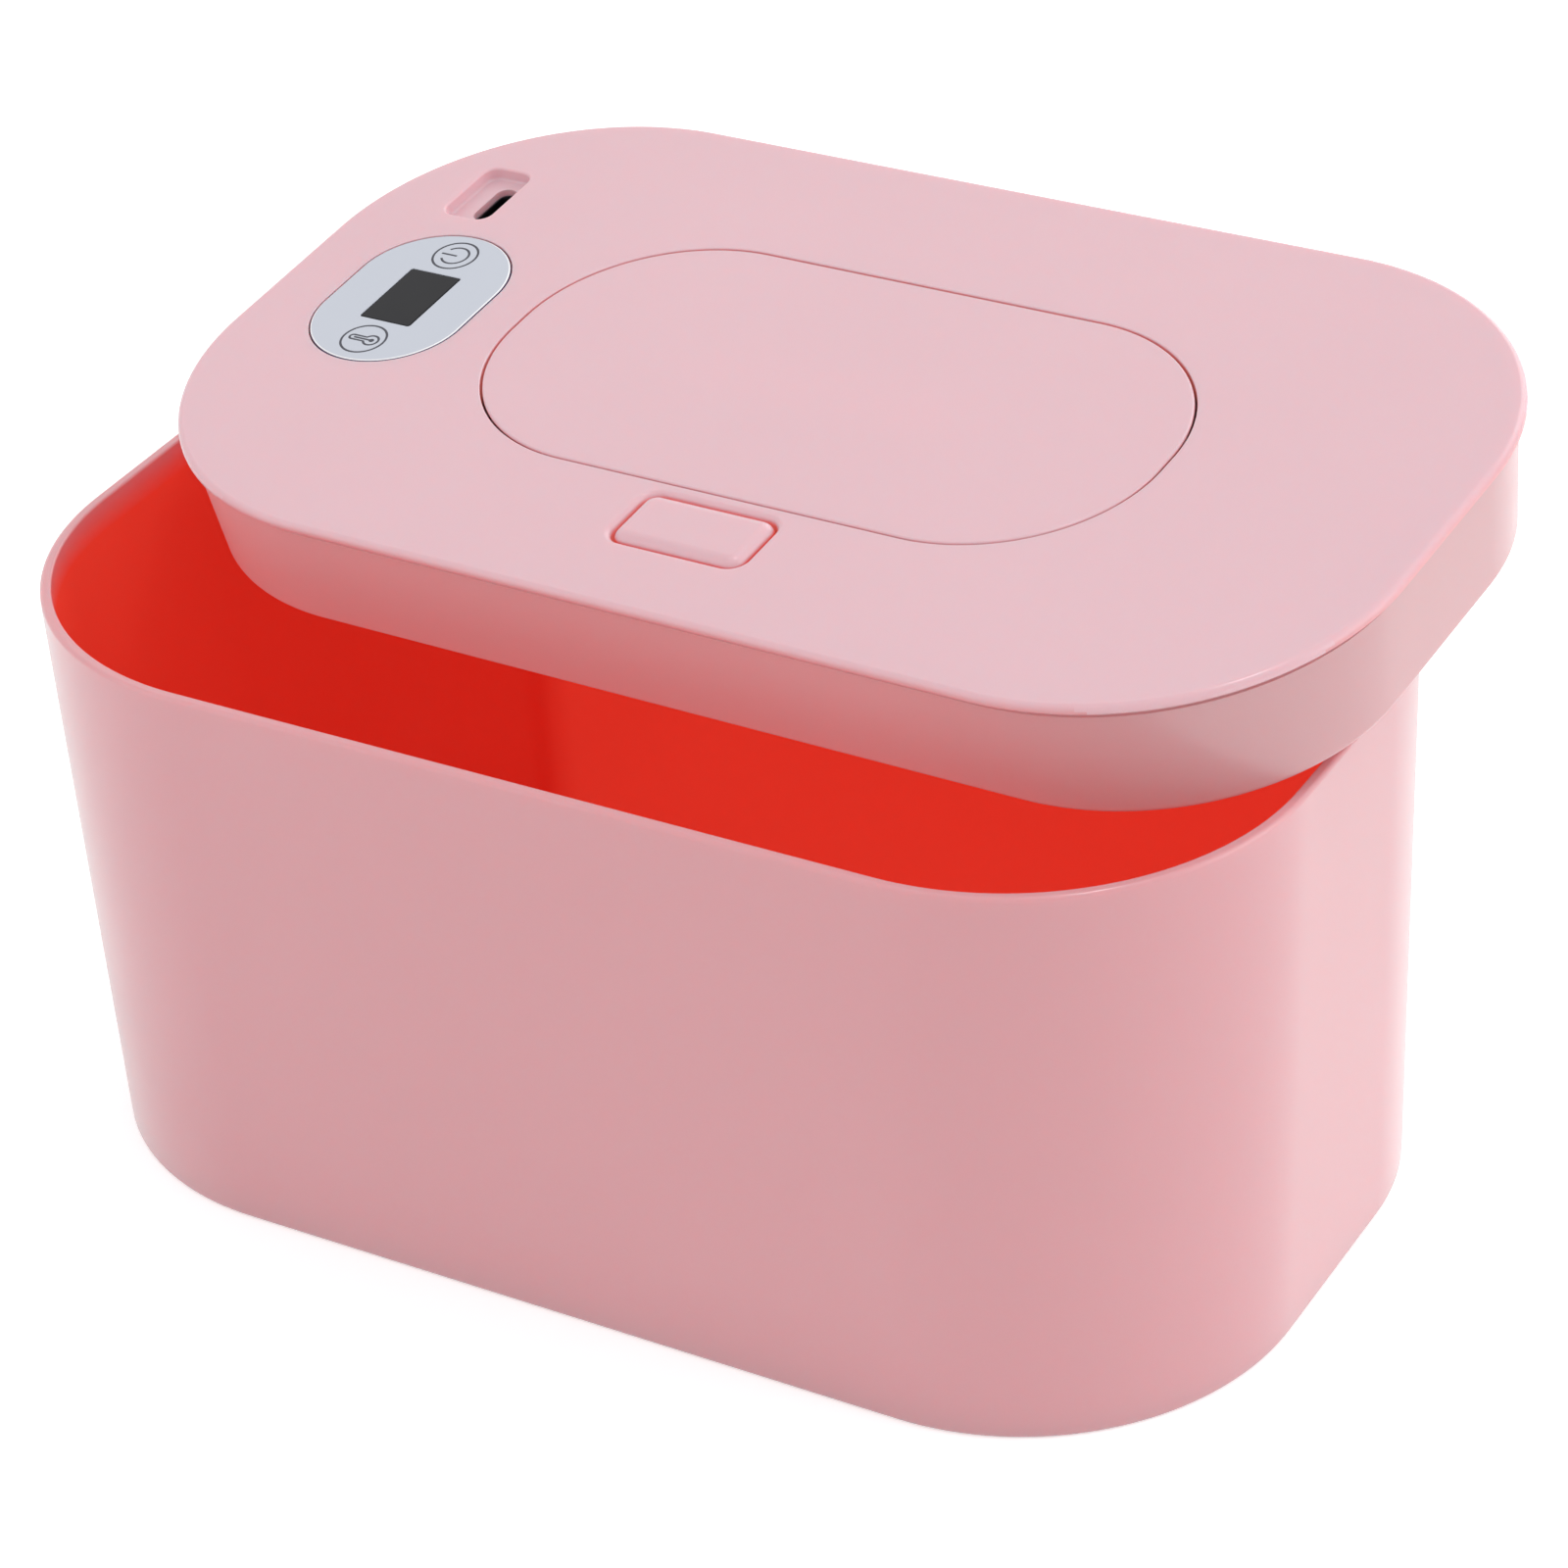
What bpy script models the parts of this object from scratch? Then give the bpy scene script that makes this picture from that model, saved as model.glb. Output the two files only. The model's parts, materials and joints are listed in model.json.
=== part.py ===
"""Baby wipe warmer with a heated lid, modelled in metres with +Z up.

The origin is the centre of the tub's flat underside, -Y is the front where the release button is,
and the control panel is at the -X end. The lid stands askew on the tub as it does when it is lifted
off: its own frame, an empty, lies at the middle of its top face, and every piece of the lid is drawn
in that frame, with z = 0 on the top face and negative z going into the lid.
"""
import math

import bmesh
import bpy
from mathutils import Matrix, Vector

# Tub
TUB_LENGTH = 0.2000
TUB_WIDTH = 0.1145
TUB_HEIGHT = 0.0920
TUB_CORNER = 0.0435
TUB_BASE_CORNER = 0.0417
TUB_WALL = 0.00175
TUB_FLOOR = 0.0022
TUB_END_DRAFT = 0.0030
TUB_SIDE_DRAFT = 0.0005
TUB_BASE_EDGE = 0.0010
TUB_INNER_EDGE = 0.0040
RIM_OUTER_EDGE = 0.0007
RIM_INNER_EDGE = 0.0004

# Lid as a whole, and how it rests on the rim
LID_HEIGHT = 0.0209
LIP_INSET = 0.0008
LIP_THICK = 0.0013
LIP_EDGE = 0.0010
TOP_THICK = 0.0020
SKIRT_CLEARANCE = 0.00025
SKIRT_END_DRAFT = 0.0015
SKIRT_SIDE_DRAFT = 0.0038
SKIRT_BASE_CORNER = 0.0370
SKIRT_EDGE = 0.0010
HOUSING_WALL = 0.0018
HOUSING_FLOOR = 0.0018
FIT_GAP = 0.0003
LID_SHIFT_X = 0.0077
LID_SHIFT_Y = 0.0230
LID_REST_GAP = 0.00035
LID_YAW = math.radians(-3.33)
LID_BACK_TILT = math.radians(6.62)
LID_SIDE_TILT = math.radians(-1.97)

# Flip cover and the well under it
FLIP_SIDE_MARGIN = 0.02865
FLIP_LENGTH = 0.5555 * TUB_LENGTH
FLIP_WIDTH = TUB_WIDTH - 2 * FLIP_SIDE_MARGIN
FLIP_CORNER = 0.0268
FLIP_GAP = 0.00035
FLIP_THICK = 0.0020
FLIP_EDGE = 0.0004
FLIP_DRAFT = 0.0008
WELL_DEPTH = 0.0080
WELL_WALL = 0.0015
WELL_FLOOR = 0.0016
SEAL_LENGTH = 0.7561 * FLIP_LENGTH
SEAL_WIDTH = 0.6643 * FLIP_WIDTH
SEAL_WALL = 0.0016

# Gooseneck hinge of the flip cover, in a bay behind the well
HINGE_SETBACK = 0.2392 * LID_HEIGHT
OPEN_ANGLE = math.radians(95)
PIN_RADIUS = 0.00075
PIN_PLAY = 0.0001
PIN_SEAT = 0.0010
KNUCKLE_RADIUS = 0.0015
ARM_SPREAD = 0.0380
ARM_WIDTH = 0.0050
ARM_THICK = 0.0016
ARM_FOOT = 0.0013
BAY_END_PLAY = 0.0008
BAY_WALL = 0.0014
HINGE_COIL_RADIUS = 0.00105
HINGE_WIRE_RADIUS = 0.0002
HINGE_COIL_PITCH = 0.0010
HINGE_COIL_TURNS = 5
HINGE_LEG = 0.0072

# Wipe outlet
THROAT_LENGTH = 0.5581 * FLIP_LENGTH
THROAT_WIDTH = 0.4196 * FLIP_WIDTH
THROAT_WALL = 0.0015
THROAT_RECESS = 0.0010
GASKET_LENGTH = 0.6481 * FLIP_LENGTH
GASKET_WIDTH = 0.5594 * FLIP_WIDTH
GASKET_FLANGE = 0.0010
GASKET_NECK = 0.0015
SLOT_LENGTH = 0.4141 * FLIP_LENGTH
SLOT_WIDTH = 0.1574 * FLIP_WIDTH

# Release button, its pocket and its springs
BUTTON_LENGTH = 0.0220
BUTTON_WIDTH = 0.0116
BUTTON_CORNER = 0.0024
BUTTON_SPACING = 0.0024
BUTTON_GAP = 0.00035
BUTTON_RISE = 0.0004
BUTTON_EDGE = 0.0015
BUTTON_WALL = 0.0012
BUTTON_CROWN = 0.0020
BUTTON_SKIRT = 0.0060
BUTTON_TRAVEL = 0.0020
POCKET_EDGE = 0.0010
POCKET_WALL = 0.0012
POCKET_FLOOR = 0.0015
BUTTON_SPRING_SPREAD = 0.0174
BUTTON_COIL_RADIUS = 0.0010
BUTTON_WIRE_RADIUS = 0.00015
SPRING_CUP_WALL = 0.0005
BUTTON_COIL_TURNS = 3

# Latch slider and its spring
LATCH_WIDTH = 0.0080
LATCH_HEIGHT = 0.0030
LATCH_FRONT = 0.0004
LATCH_PROUD = 0.0005
NOSE_HEIGHT = 0.0013
WING_REACH = 0.0026
WING_HEIGHT = 0.0035
LATCH_BORE_RADIUS = 0.0012
LATCH_BORE_WALL = 0.0005
LATCH_COIL_RADIUS = 0.0008
LATCH_WIRE_RADIUS = 0.00015
LATCH_COIL_TURNS = 6
SPRING_POST_THICK = 0.0010
HOOK_WIDTH = 0.0080
HOOK_THICK = 0.0017
HOOK_LIP = 0.0007
HOOK_LIP_HEIGHT = 0.0008
HOOK_CLEARANCE = 0.0010
HOOK_FLOOR_GAP = 0.0006

# Control panel
PANEL_X = -0.378 * TUB_LENGTH
PANEL_LENGTH = 0.3066 * TUB_WIDTH
PANEL_WIDTH = 0.0251
PANEL_THICK = 0.0008
PANEL_GAP = 0.0002
DISPLAY_LENGTH = 0.39 * PANEL_LENGTH
DISPLAY_WIDTH = 0.0091
DISPLAY_CORNER = 0.0003
DISPLAY_GAP = 0.0001
DISPLAY_LEDGE = 0.0007
MODULE_MARGIN = 0.0012
MODULE_HEIGHT = 0.0044
KEY_SPACING = 0.692 * PANEL_LENGTH
KEY_COIL_RADIUS = 0.0028
KEY_COIL_TIP_RADIUS = 0.0016
KEY_WIRE_RADIUS = 0.00025
KEY_COIL_TURNS = 4

# Charging port
PORT_X = -0.4075 * TUB_LENGTH
PORT_Y = 0.2542 * TUB_WIDTH
PORT_LENGTH = 0.0148
PORT_WIDTH = 0.0093
PORT_CORNER = 0.0018
PORT_DEPTH = 0.0019
PORT_SLOPE = 0.0009
PORT_WALL = 0.0014
PORT_SLOT_SHIFT = 0.0011
INLET_LENGTH = 0.00894
INLET_WIDTH = 0.00326
INLET_HEIGHT = 0.0052
INLET_SHELL = 0.0003
INLET_GAP = 0.00015
INLET_TONGUE = 0.0007
INLET_CAVITY = 0.0046

# Control board
BOARD_X = -0.365 * TUB_LENGTH
BOARD_Y = 0.0568 * TUB_WIDTH
BOARD_LENGTH = 0.5066 * TUB_WIDTH
BOARD_WIDTH = 0.115 * TUB_LENGTH
BOARD_CORNER = 0.0030
BOARD_THICK = 0.0016
BOARD_DEPTH = 0.0084
BOARD_POST_RADIUS = 0.0022
BOARD_SCREW_INSET = 0.0030
BOARD_SCREW_RADIUS = 0.0008
BOARD_HEAD_RADIUS = 0.0016
BOARD_HEAD_THICK = 0.0010
BOARD_SCREW_LENGTH = 0.0050
SCREW_PLAY = 0.0002

# Heater in the lower housing
WINDOW_LENGTH = 0.71 * TUB_LENGTH
WINDOW_WIDTH = 0.594 * TUB_WIDTH
WINDOW_CORNER = 0.0200
HEATER_LEDGE = 0.0040
HEATER_THICK = 0.0010
FILM_THICK = 0.0005
FILM_MARGIN = 0.0030
PAD_THICK = 0.0030
PAD_END_MARGIN = 0.0150
THROAT_PLAY = 0.0004
SENSOR_LENGTH = 0.0050
SENSOR_WIDTH = 0.0030
SENSOR_HEIGHT = 0.0022
FUSE_RADIUS = 0.0015
FUSE_LENGTH = 0.0100
LEAD_RADIUS = 0.0009
LEAD_BOW = 0.0030

# Screws that close the lid
BOSS_X = 0.31 * TUB_LENGTH
BOSS_Y = 0.3895 * TUB_WIDTH
BOSS_END_X = 0.448 * TUB_LENGTH
BOSS_RADIUS = 0.0032
CUP_RADIUS = 0.0040
CUP_HEIGHT = 0.0044
SCREW_RADIUS = 0.0012
SCREW_LENGTH = 0.0095
SCREW_HEAD_RADIUS = 0.0025
SCREW_HEAD_THICK = 0.0013
HEAD_RIM_SHARE = 0.75
HEAD_BORE_DEPTH = 0.0024

# Facets and cutting
CUT_OVERRUN = 0.0010
WELD_DISTANCE = 0.000001
CORNER_STEPS = 10
SMALL_STEPS = 4
EDGE_STEPS = 3
ARM_STEPS = 7
ROUND_SIDES = 16
COIL_STEPS = 8
REST_SAMPLES = 40
REST_LEVELS = 6
REST_HALVINGS = 24
SMOOTH_ANGLE = math.radians(35)


def grown(size, by):
    """A rounded rectangle's length, width and corner with its outline moved out by an amount."""
    return size[0] + 2 * by, size[1] + 2 * by, max(size[2] + by, 0)


# Outlines worked out from the sizes above, each a length, a width and a corner
LIP = grown((TUB_LENGTH, TUB_WIDTH, TUB_CORNER), -LIP_INSET)
SKIRT = grown((TUB_LENGTH, TUB_WIDTH, TUB_CORNER), -TUB_WALL - SKIRT_CLEARANCE)
WELL = (FLIP_LENGTH, FLIP_WIDTH, FLIP_CORNER)
FLIP = grown(WELL, -FLIP_GAP)
SEAL = (SEAL_LENGTH, SEAL_WIDTH, SEAL_WIDTH / 2)
THROAT = (THROAT_LENGTH, THROAT_WIDTH, THROAT_WIDTH / 2)
GASKET = (GASKET_LENGTH, GASKET_WIDTH, GASKET_WIDTH / 2)
SLOT = (SLOT_LENGTH, SLOT_WIDTH, SLOT_WIDTH / 2)
BUTTON = (BUTTON_LENGTH, BUTTON_WIDTH, BUTTON_CORNER)
POCKET = grown(BUTTON, BUTTON_GAP)
PANEL = (PANEL_WIDTH, PANEL_LENGTH, PANEL_WIDTH / 2)
DISPLAY = (DISPLAY_WIDTH, DISPLAY_LENGTH, DISPLAY_CORNER)
PORT = (PORT_WIDTH, PORT_LENGTH, PORT_CORNER)
INLET = (INLET_WIDTH, INLET_LENGTH, INLET_WIDTH / 2)
BOARD = (BOARD_WIDTH, BOARD_LENGTH, BOARD_CORNER)
WINDOW = (WINDOW_LENGTH, WINDOW_WIDTH, WINDOW_CORNER)
HEATER = grown(WINDOW, HEATER_LEDGE)
FILM = grown(HEATER, -FILM_MARGIN)
HEATER_HOLE = grown(THROAT, THROAT_WALL + THROAT_PLAY)

# Places worked out from the sizes above
WELL_UNDERSIDE = WELL_DEPTH + WELL_FLOOR
HINGE_Y = FLIP_WIDTH / 2 + HINGE_SETBACK
HINGE_DEPTH = TOP_THICK + FIT_GAP + KNUCKLE_RADIUS
ARM_INNER = math.hypot(HINGE_SETBACK, HINGE_DEPTH) + FIT_GAP
ARM_OUTER = ARM_INNER + ARM_THICK
BAY_HALF = (ARM_SPREAD + ARM_WIDTH) / 2 + BAY_END_PLAY
BAY_FRONT = HINGE_Y - ARM_OUTER - FIT_GAP
BAY_BACK = HINGE_Y + KNUCKLE_RADIUS + FIT_GAP
BAY_FLOOR = -HINGE_DEPTH - ARM_INNER - ARM_FOOT - FIT_GAP
PAD = (FILM[0] - 2 * PAD_END_MARGIN, 2 * (BAY_FRONT - BAY_WALL - FIT_GAP), FILM[2])
BUTTON_Y = -(FLIP_WIDTH / 2 + BUTTON_SPACING + BUTTON_WIDTH / 2)
POCKET_DEPTH = BUTTON_SKIRT + BUTTON_TRAVEL + FIT_GAP
CROWN_UNDERSIDE = BUTTON_RISE - BUTTON_CROWN
LATCH_BASE = FIT_GAP - POCKET_DEPTH
LATCH_TOP = LATCH_BASE + LATCH_HEIGHT
LATCH_FACE_Y = BUTTON_Y + LATCH_FRONT
LATCH_STEP_Y = BUTTON_Y + POCKET[1] / 2 - FIT_GAP
NOSE_TIP_Y = LATCH_PROUD - FLIP_WIDTH / 2
NOSE_BASE = LATCH_TOP - NOSE_HEIGHT
LATCH_BORE_Z = LATCH_BASE + LATCH_HEIGHT / 2
SLOT_PLACE = (PORT_X + PORT_SLOT_SHIFT, PORT_Y)
BOARD_TOP = -BOARD_DEPTH
BOARD_UNDERSIDE = BOARD_TOP - BOARD_THICK
BOARD_SCREW_TOP = BOARD_UNDERSIDE - FIT_GAP + BOARD_SCREW_LENGTH
HOUSING_INSIDE = HOUSING_FLOOR - LID_HEIGHT
HEATER_BASE = HOUSING_INSIDE + FIT_GAP
FILM_BASE = HEATER_BASE + HEATER_THICK + FIT_GAP
PAD_BASE = FILM_BASE + FILM_THICK + FIT_GAP
SENSOR_X = (FILM[0] - PAD_END_MARGIN) / 2
BOSS_PLACES = [(sx * BOSS_X, sy * BOSS_Y) for sx in (-1, 1) for sy in (-1, 1)]
BOSS_PLACES += [(sx * BOSS_END_X, 0) for sx in (-1, 1)]
BOARD_HOLE_X = BOARD_WIDTH / 2 - BOARD_SCREW_INSET
BOARD_HOLE_Y = BOARD_LENGTH / 2 - BOARD_SCREW_INSET
BOARD_PLACES = [
    (BOARD_X + sx * BOARD_HOLE_X, BOARD_Y + sy * BOARD_HOLE_Y) for sx, sy in ((-1, -1), (1, -1), (1, 1))
]


def clear_scene():
    """Remove every object of the open scene."""
    for item in list(bpy.data.objects):
        bpy.data.objects.remove(item, do_unlink=True)


def finish(name, colour, roughness, metallic=0.0):
    """A Principled material for one sub-part."""
    material = bpy.data.materials.new(name)
    material.use_nodes = True
    shader = material.node_tree.nodes["Principled BSDF"]
    shader.inputs["Base Color"].default_value = (*colour, 1.0)
    shader.inputs["Roughness"].default_value = roughness
    shader.inputs["Metallic"].default_value = metallic
    return material


# Outlines and rings
def outline(size, steps=CORNER_STEPS, centre=(0, 0)):
    """Points of a rounded rectangle, counter-clockwise seen from above."""
    length, width, corner = size
    radius = min(corner, length / 2, width / 2)
    points = []
    for quarter, (sx, sy) in enumerate(((1, 1), (-1, 1), (-1, -1), (1, -1))):
        for step in range(steps + 1):
            angle = (quarter + step / steps) * math.pi / 2
            x = centre[0] + sx * (length / 2 - radius) + radius * math.cos(angle)
            y = centre[1] + sy * (width / 2 - radius) + radius * math.sin(angle)
            points.append((x, y))
    return points


def ring(size, z, steps=CORNER_STEPS, centre=(0, 0)):
    """A rounded rectangle as a level ring of points."""
    return [Vector((x, y, z)) for x, y in outline(size, steps, centre)]


def quarter_round(size, z, radius, rise, steps=EDGE_STEPS):
    """Sizes and heights that turn from an upright side at z to a level face, up for rise 1."""
    stations = []
    for step in range(steps + 1):
        angle = step / steps * math.pi / 2
        inset = radius * (1 - math.cos(angle))
        stations.append((grown(size, -inset), z + rise * radius * math.sin(angle)))
    return stations


def circle(radius, z, centre=(0, 0)):
    """A level ring of points on a circle."""
    points = []
    for side in range(ROUND_SIDES):
        angle = side / ROUND_SIDES * 2 * math.pi
        x = centre[0] + radius * math.cos(angle)
        y = centre[1] + radius * math.sin(angle)
        points.append(Vector((x, y, z)))
    return points


# Solids
def add_loft(mesh, rings, closed=False):
    """Skin a run of equal rings, with a face over each end, or closed round into a hollow frame."""
    loops = [[mesh.verts.new(point) for point in points] for points in rings]
    pairs = list(zip(loops, loops[1:]))
    if closed:
        pairs.append((loops[-1], loops[0]))
    count = len(loops[0])
    for first, second in pairs:
        for i in range(count):
            j = (i + 1) % count
            mesh.faces.new((first[i], first[j], second[j], second[i]))
    if not closed:
        mesh.faces.new(list(reversed(loops[0])))
        mesh.faces.new(loops[-1])


def make_object(name, lofts, material=None):
    """An object of one or more closed lofts, shaded smooth with its sharp edges kept."""
    mesh = bmesh.new()
    for rings, closed in lofts:
        add_loft(mesh, rings, closed)
    bmesh.ops.remove_doubles(mesh, verts=mesh.verts[:], dist=WELD_DISTANCE)
    bmesh.ops.recalc_face_normals(mesh, faces=mesh.faces[:])
    data = bpy.data.meshes.new(name)
    mesh.to_mesh(data)
    mesh.free()
    data.shade_smooth()
    data.set_sharp_from_angle(angle=SMOOTH_ANGLE)
    item = bpy.data.objects.new(name, data)
    bpy.context.scene.collection.objects.link(item)
    if material:
        data.materials.append(material)
    return item


def block(size, low, high, centre=(0, 0), steps=SMALL_STEPS):
    """An upright prism with rounded corners, as a loft."""
    return [ring(size, z, steps, centre) for z in (low, high)], False


def drum(radius, low, high, centre=(0, 0)):
    """An upright cylinder, as a loft."""
    return [circle(radius, z, centre) for z in (low, high)], False


def frame(outer, inner, low, high, centre=(0, 0)):
    """A flat frame between an outer and an inner rounded rectangle, as a closed loft."""
    corners = ((outer, low), (outer, high), (inner, high), (inner, low))
    return [ring(size, z, CORNER_STEPS, centre) for size, z in corners], True


def side_prism(points, left, right):
    """A side view of (y, z) points drawn out along X, as a loft."""
    return [[Vector((x, y, z)) for y, z in points] for x in (left, right)], False


def cross_rod(radius, left, right, y, z):
    """A rod along X, as a loft."""
    turn = 2 * math.pi / ROUND_SIDES
    points = []
    for side in range(ROUND_SIDES):
        points.append((y + radius * math.cos(side * turn), z + radius * math.sin(side * turn)))
    return side_prism(points, left, right)


def turned(loft):
    """A loft with its X and Y swapped, so that what ran along X runs along Y."""
    rings, closed = loft
    return [[Vector((point.y, point.x, point.z)) for point in points] for points in rings], closed


def combine(target, tool, operation):
    """Join or cut the target with a tool that stays out of the finished part."""
    modifier = target.modifiers.new(tool.name, 'BOOLEAN')
    modifier.operation = operation
    modifier.object = tool
    tool.hide_render = True
    tool.display_type = 'WIRE'
    tool.parent = target.parent
    tool.matrix_parent_inverse = target.matrix_parent_inverse
    tool.location = target.location


def make_wire(name, points, radius, material):
    """A round wire along the points, with filled ends."""
    curve = bpy.data.curves.new(name, 'CURVE')
    curve.dimensions = '3D'
    curve.bevel_depth = radius
    curve.bevel_resolution = 1
    curve.use_fill_caps = True
    spline = curve.splines.new('POLY')
    spline.points.add(len(points) - 1)
    for target, point in zip(spline.points, points):
        target.co = (*point, 1)
    item = bpy.data.objects.new(name, curve)
    bpy.context.scene.collection.objects.link(item)
    curve.materials.append(material)
    return item


def coil(turns, low_radius, high_radius, low, high):
    """Points of an upright coil about the Z axis."""
    count = turns * COIL_STEPS
    points = []
    for i in range(count + 1):
        share = i / count
        radius = low_radius + (high_radius - low_radius) * share
        angle = share * turns * 2 * math.pi
        z = low + (high - low) * share
        points.append(Vector((radius * math.cos(angle), radius * math.sin(angle), z)))
    return points


# Where the lid rests
def tub_size(z, inset=0.0):
    """The outline of the tub's drafted wall at height z, drawn in by an inset."""
    share = (z - TUB_BASE_EDGE) / (TUB_HEIGHT - RIM_OUTER_EDGE - TUB_BASE_EDGE)
    length = TUB_LENGTH - 2 * TUB_END_DRAFT * (1 - share)
    width = TUB_WIDTH - 2 * TUB_SIDE_DRAFT * (1 - share)
    corner = TUB_BASE_CORNER + (TUB_CORNER - TUB_BASE_CORNER) * share
    return grown((length, width, corner), -inset)


def skirt_size(z):
    """The outline of the lid's drafted skirt at height z of the lid's own frame."""
    share = min(max((-z - LIP_THICK) / (LID_HEIGHT - LIP_THICK), 0), 1)
    length = SKIRT[0] - 2 * SKIRT_END_DRAFT * share
    width = SKIRT[1] - 2 * SKIRT_SIDE_DRAFT * share
    corner = SKIRT[2] + (SKIRT_BASE_CORNER - SKIRT[2]) * share
    return length, width, corner


def lid_placement(rise):
    """The lid's frame for a height of its top face: shifted back and right, turned and tilted."""
    turn = Matrix.Rotation(LID_YAW, 4, 'Z')
    turn = turn @ Matrix.Rotation(LID_SIDE_TILT, 4, 'Y') @ Matrix.Rotation(LID_BACK_TILT, 4, 'X')
    return Matrix.Translation((LID_SHIFT_X, LID_SHIFT_Y, rise)) @ turn


def gap_to_lid(point):
    """About how far a point of the lid's frame lies outside the lid's lower half."""
    length, width, corner = skirt_size(point.z)
    across = abs(point.x) - (length / 2 - corner)
    along = abs(point.y) - (width / 2 - corner)
    sideways = math.hypot(max(across, 0), max(along, 0)) + min(max(across, along), 0) - corner
    return max(sideways, -LID_HEIGHT - point.z)


def rim_points():
    """Points round the top of the rim and down both faces of the wall as far as the skirt reaches."""
    points = []
    for inset in (RIM_OUTER_EDGE, TUB_WALL / 2, TUB_WALL - RIM_INNER_EDGE):
        points += ring(tub_size(TUB_HEIGHT, inset), TUB_HEIGHT, REST_SAMPLES)
    for level in range(REST_LEVELS):
        z = TUB_HEIGHT - RIM_OUTER_EDGE - level / REST_LEVELS * LID_HEIGHT
        for inset in (0, TUB_WALL):
            points += ring(tub_size(z, inset), z, REST_SAMPLES)
    return points


def resting_rise():
    """The lowest height at which the tilted lid clears the rim by the rest gap, by halving."""
    points = rim_points()
    low = TUB_HEIGHT
    high = TUB_HEIGHT + 2 * LID_HEIGHT
    for _ in range(REST_HALVINGS):
        middle = (low + high) / 2
        into_lid = lid_placement(middle).inverted()
        if min(gap_to_lid(into_lid @ point) for point in points) < LID_REST_GAP:
            low = middle
        else:
            high = middle
    return high


def make_pivot(name, parent=None, place=(0, 0, 0)):
    """An empty that carries the pieces of one body."""
    pivot = bpy.data.objects.new(name, None)
    bpy.context.scene.collection.objects.link(pivot)
    pivot.parent = parent
    pivot.location = place
    return pivot


def carry(item, pivot):
    """Hang a piece drawn in the lid's frame on a pivot of that frame."""
    item.parent = pivot
    item.location = -pivot.location if pivot.parent else Vector((0, 0, 0))
    return item


# Tub
def make_tub():
    """The open tub, from its base up the outside, over the rim and down the inside to its floor."""
    base = tub_size(TUB_BASE_EDGE)
    stations = list(reversed(quarter_round(base, TUB_BASE_EDGE, TUB_BASE_EDGE, -1)))
    shoulder = TUB_HEIGHT - RIM_OUTER_EDGE
    stations += quarter_round(tub_size(shoulder), shoulder, RIM_OUTER_EDGE, 1)
    mouth = tub_size(shoulder, TUB_WALL)
    for step in range(EDGE_STEPS):
        angle = step / (EDGE_STEPS - 1) * math.pi / 2
        widened = grown(mouth, RIM_INNER_EDGE * (1 - math.sin(angle)))
        stations.append((widened, TUB_HEIGHT - RIM_INNER_EDGE * (1 - math.cos(angle))))
    bottom = TUB_FLOOR + TUB_INNER_EDGE
    stations += quarter_round(tub_size(bottom, TUB_WALL), bottom, TUB_INNER_EDGE, -1)
    rings = [ring(size, z) for size, z in stations]
    make_object("tub", [(rings, False)], finish("tub plastic", (0.79, 0.42, 0.44), 0.32))


# Top cover of the lid, with the well, the hinge bay, the throat and all that is moulded on it
def make_top_cover(lid):
    """The plate with its lip, then its walls and guides joined on and its hollows cut."""
    plug = grown(skirt_size(-LIP_THICK), -HOUSING_WALL - FIT_GAP)
    stations = [(plug, -TOP_THICK), (plug, -LIP_THICK), (LIP, -LIP_THICK)]
    stations += quarter_round(LIP, -LIP_EDGE, LIP_EDGE, 1)
    rings = [ring(size, z) for size, z in stations]
    cover = make_object("top_cover", [(rings, False)], finish("cover plastic", (0.80, 0.56, 0.59), 0.30))
    carry(cover, lid)
    combine(cover, make_object("cover_walls", cover_walls()), 'UNION')
    combine(cover, make_object("cover_guides", cover_guides()), 'UNION')
    combine(cover, make_object("hinge_housing", [bay(BAY_WALL, -TOP_THICK / 2)]), 'UNION')
    combine(cover, make_object("cover_hollows", cover_hollows()), 'DIFFERENCE')
    combine(cover, make_object("cover_openings", cover_openings()), 'DIFFERENCE')
    combine(cover, make_object("hinge_bay", [bay(0, -TOP_THICK)]), 'DIFFERENCE')
    post_y = LATCH_FACE_Y - BUTTON_TRAVEL - 2 * SPRING_POST_THICK
    post_base = -POCKET_DEPTH - POCKET_FLOOR / 2
    post = block((LATCH_WIDTH / 2, SPRING_POST_THICK, 0), post_base, LATCH_TOP, (0, post_y), 1)
    combine(cover, make_object("spring_post", [post]), 'UNION')
    combine(cover, make_object("latch_window_and_pin_bores", cover_side_holes()), 'DIFFERENCE')


def cover_walls():
    """The well's shell, the screw bosses, the board posts and the port's shell."""
    root = -TOP_THICK / 2
    boss_end = FIT_GAP - LID_HEIGHT + CUP_HEIGHT
    walls = [block(grown(WELL, WELL_WALL), -WELL_UNDERSIDE, root, steps=CORNER_STEPS)]
    walls += [drum(BOSS_RADIUS, boss_end, root, place) for place in BOSS_PLACES]
    walls += [drum(BOARD_POST_RADIUS, BOARD_TOP + FIT_GAP, root, place) for place in BOARD_PLACES]
    walls.append(block(grown(PORT, PORT_WALL), -PORT_DEPTH - PORT_WALL, root, (PORT_X, PORT_Y)))
    return walls


def cover_guides():
    """The shell of the button's pocket, and the throat down to the heater's hole."""
    pocket_base = -POCKET_DEPTH - POCKET_FLOOR
    throat_base = THROAT_RECESS - LID_HEIGHT
    throat_top = -WELL_DEPTH - WELL_FLOOR / 2
    return [
        block(grown(POCKET, POCKET_WALL), pocket_base, -TOP_THICK / 2, (0, BUTTON_Y)),
        block(grown(THROAT, THROAT_WALL), throat_base, throat_top, steps=CORNER_STEPS),
    ]


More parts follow.
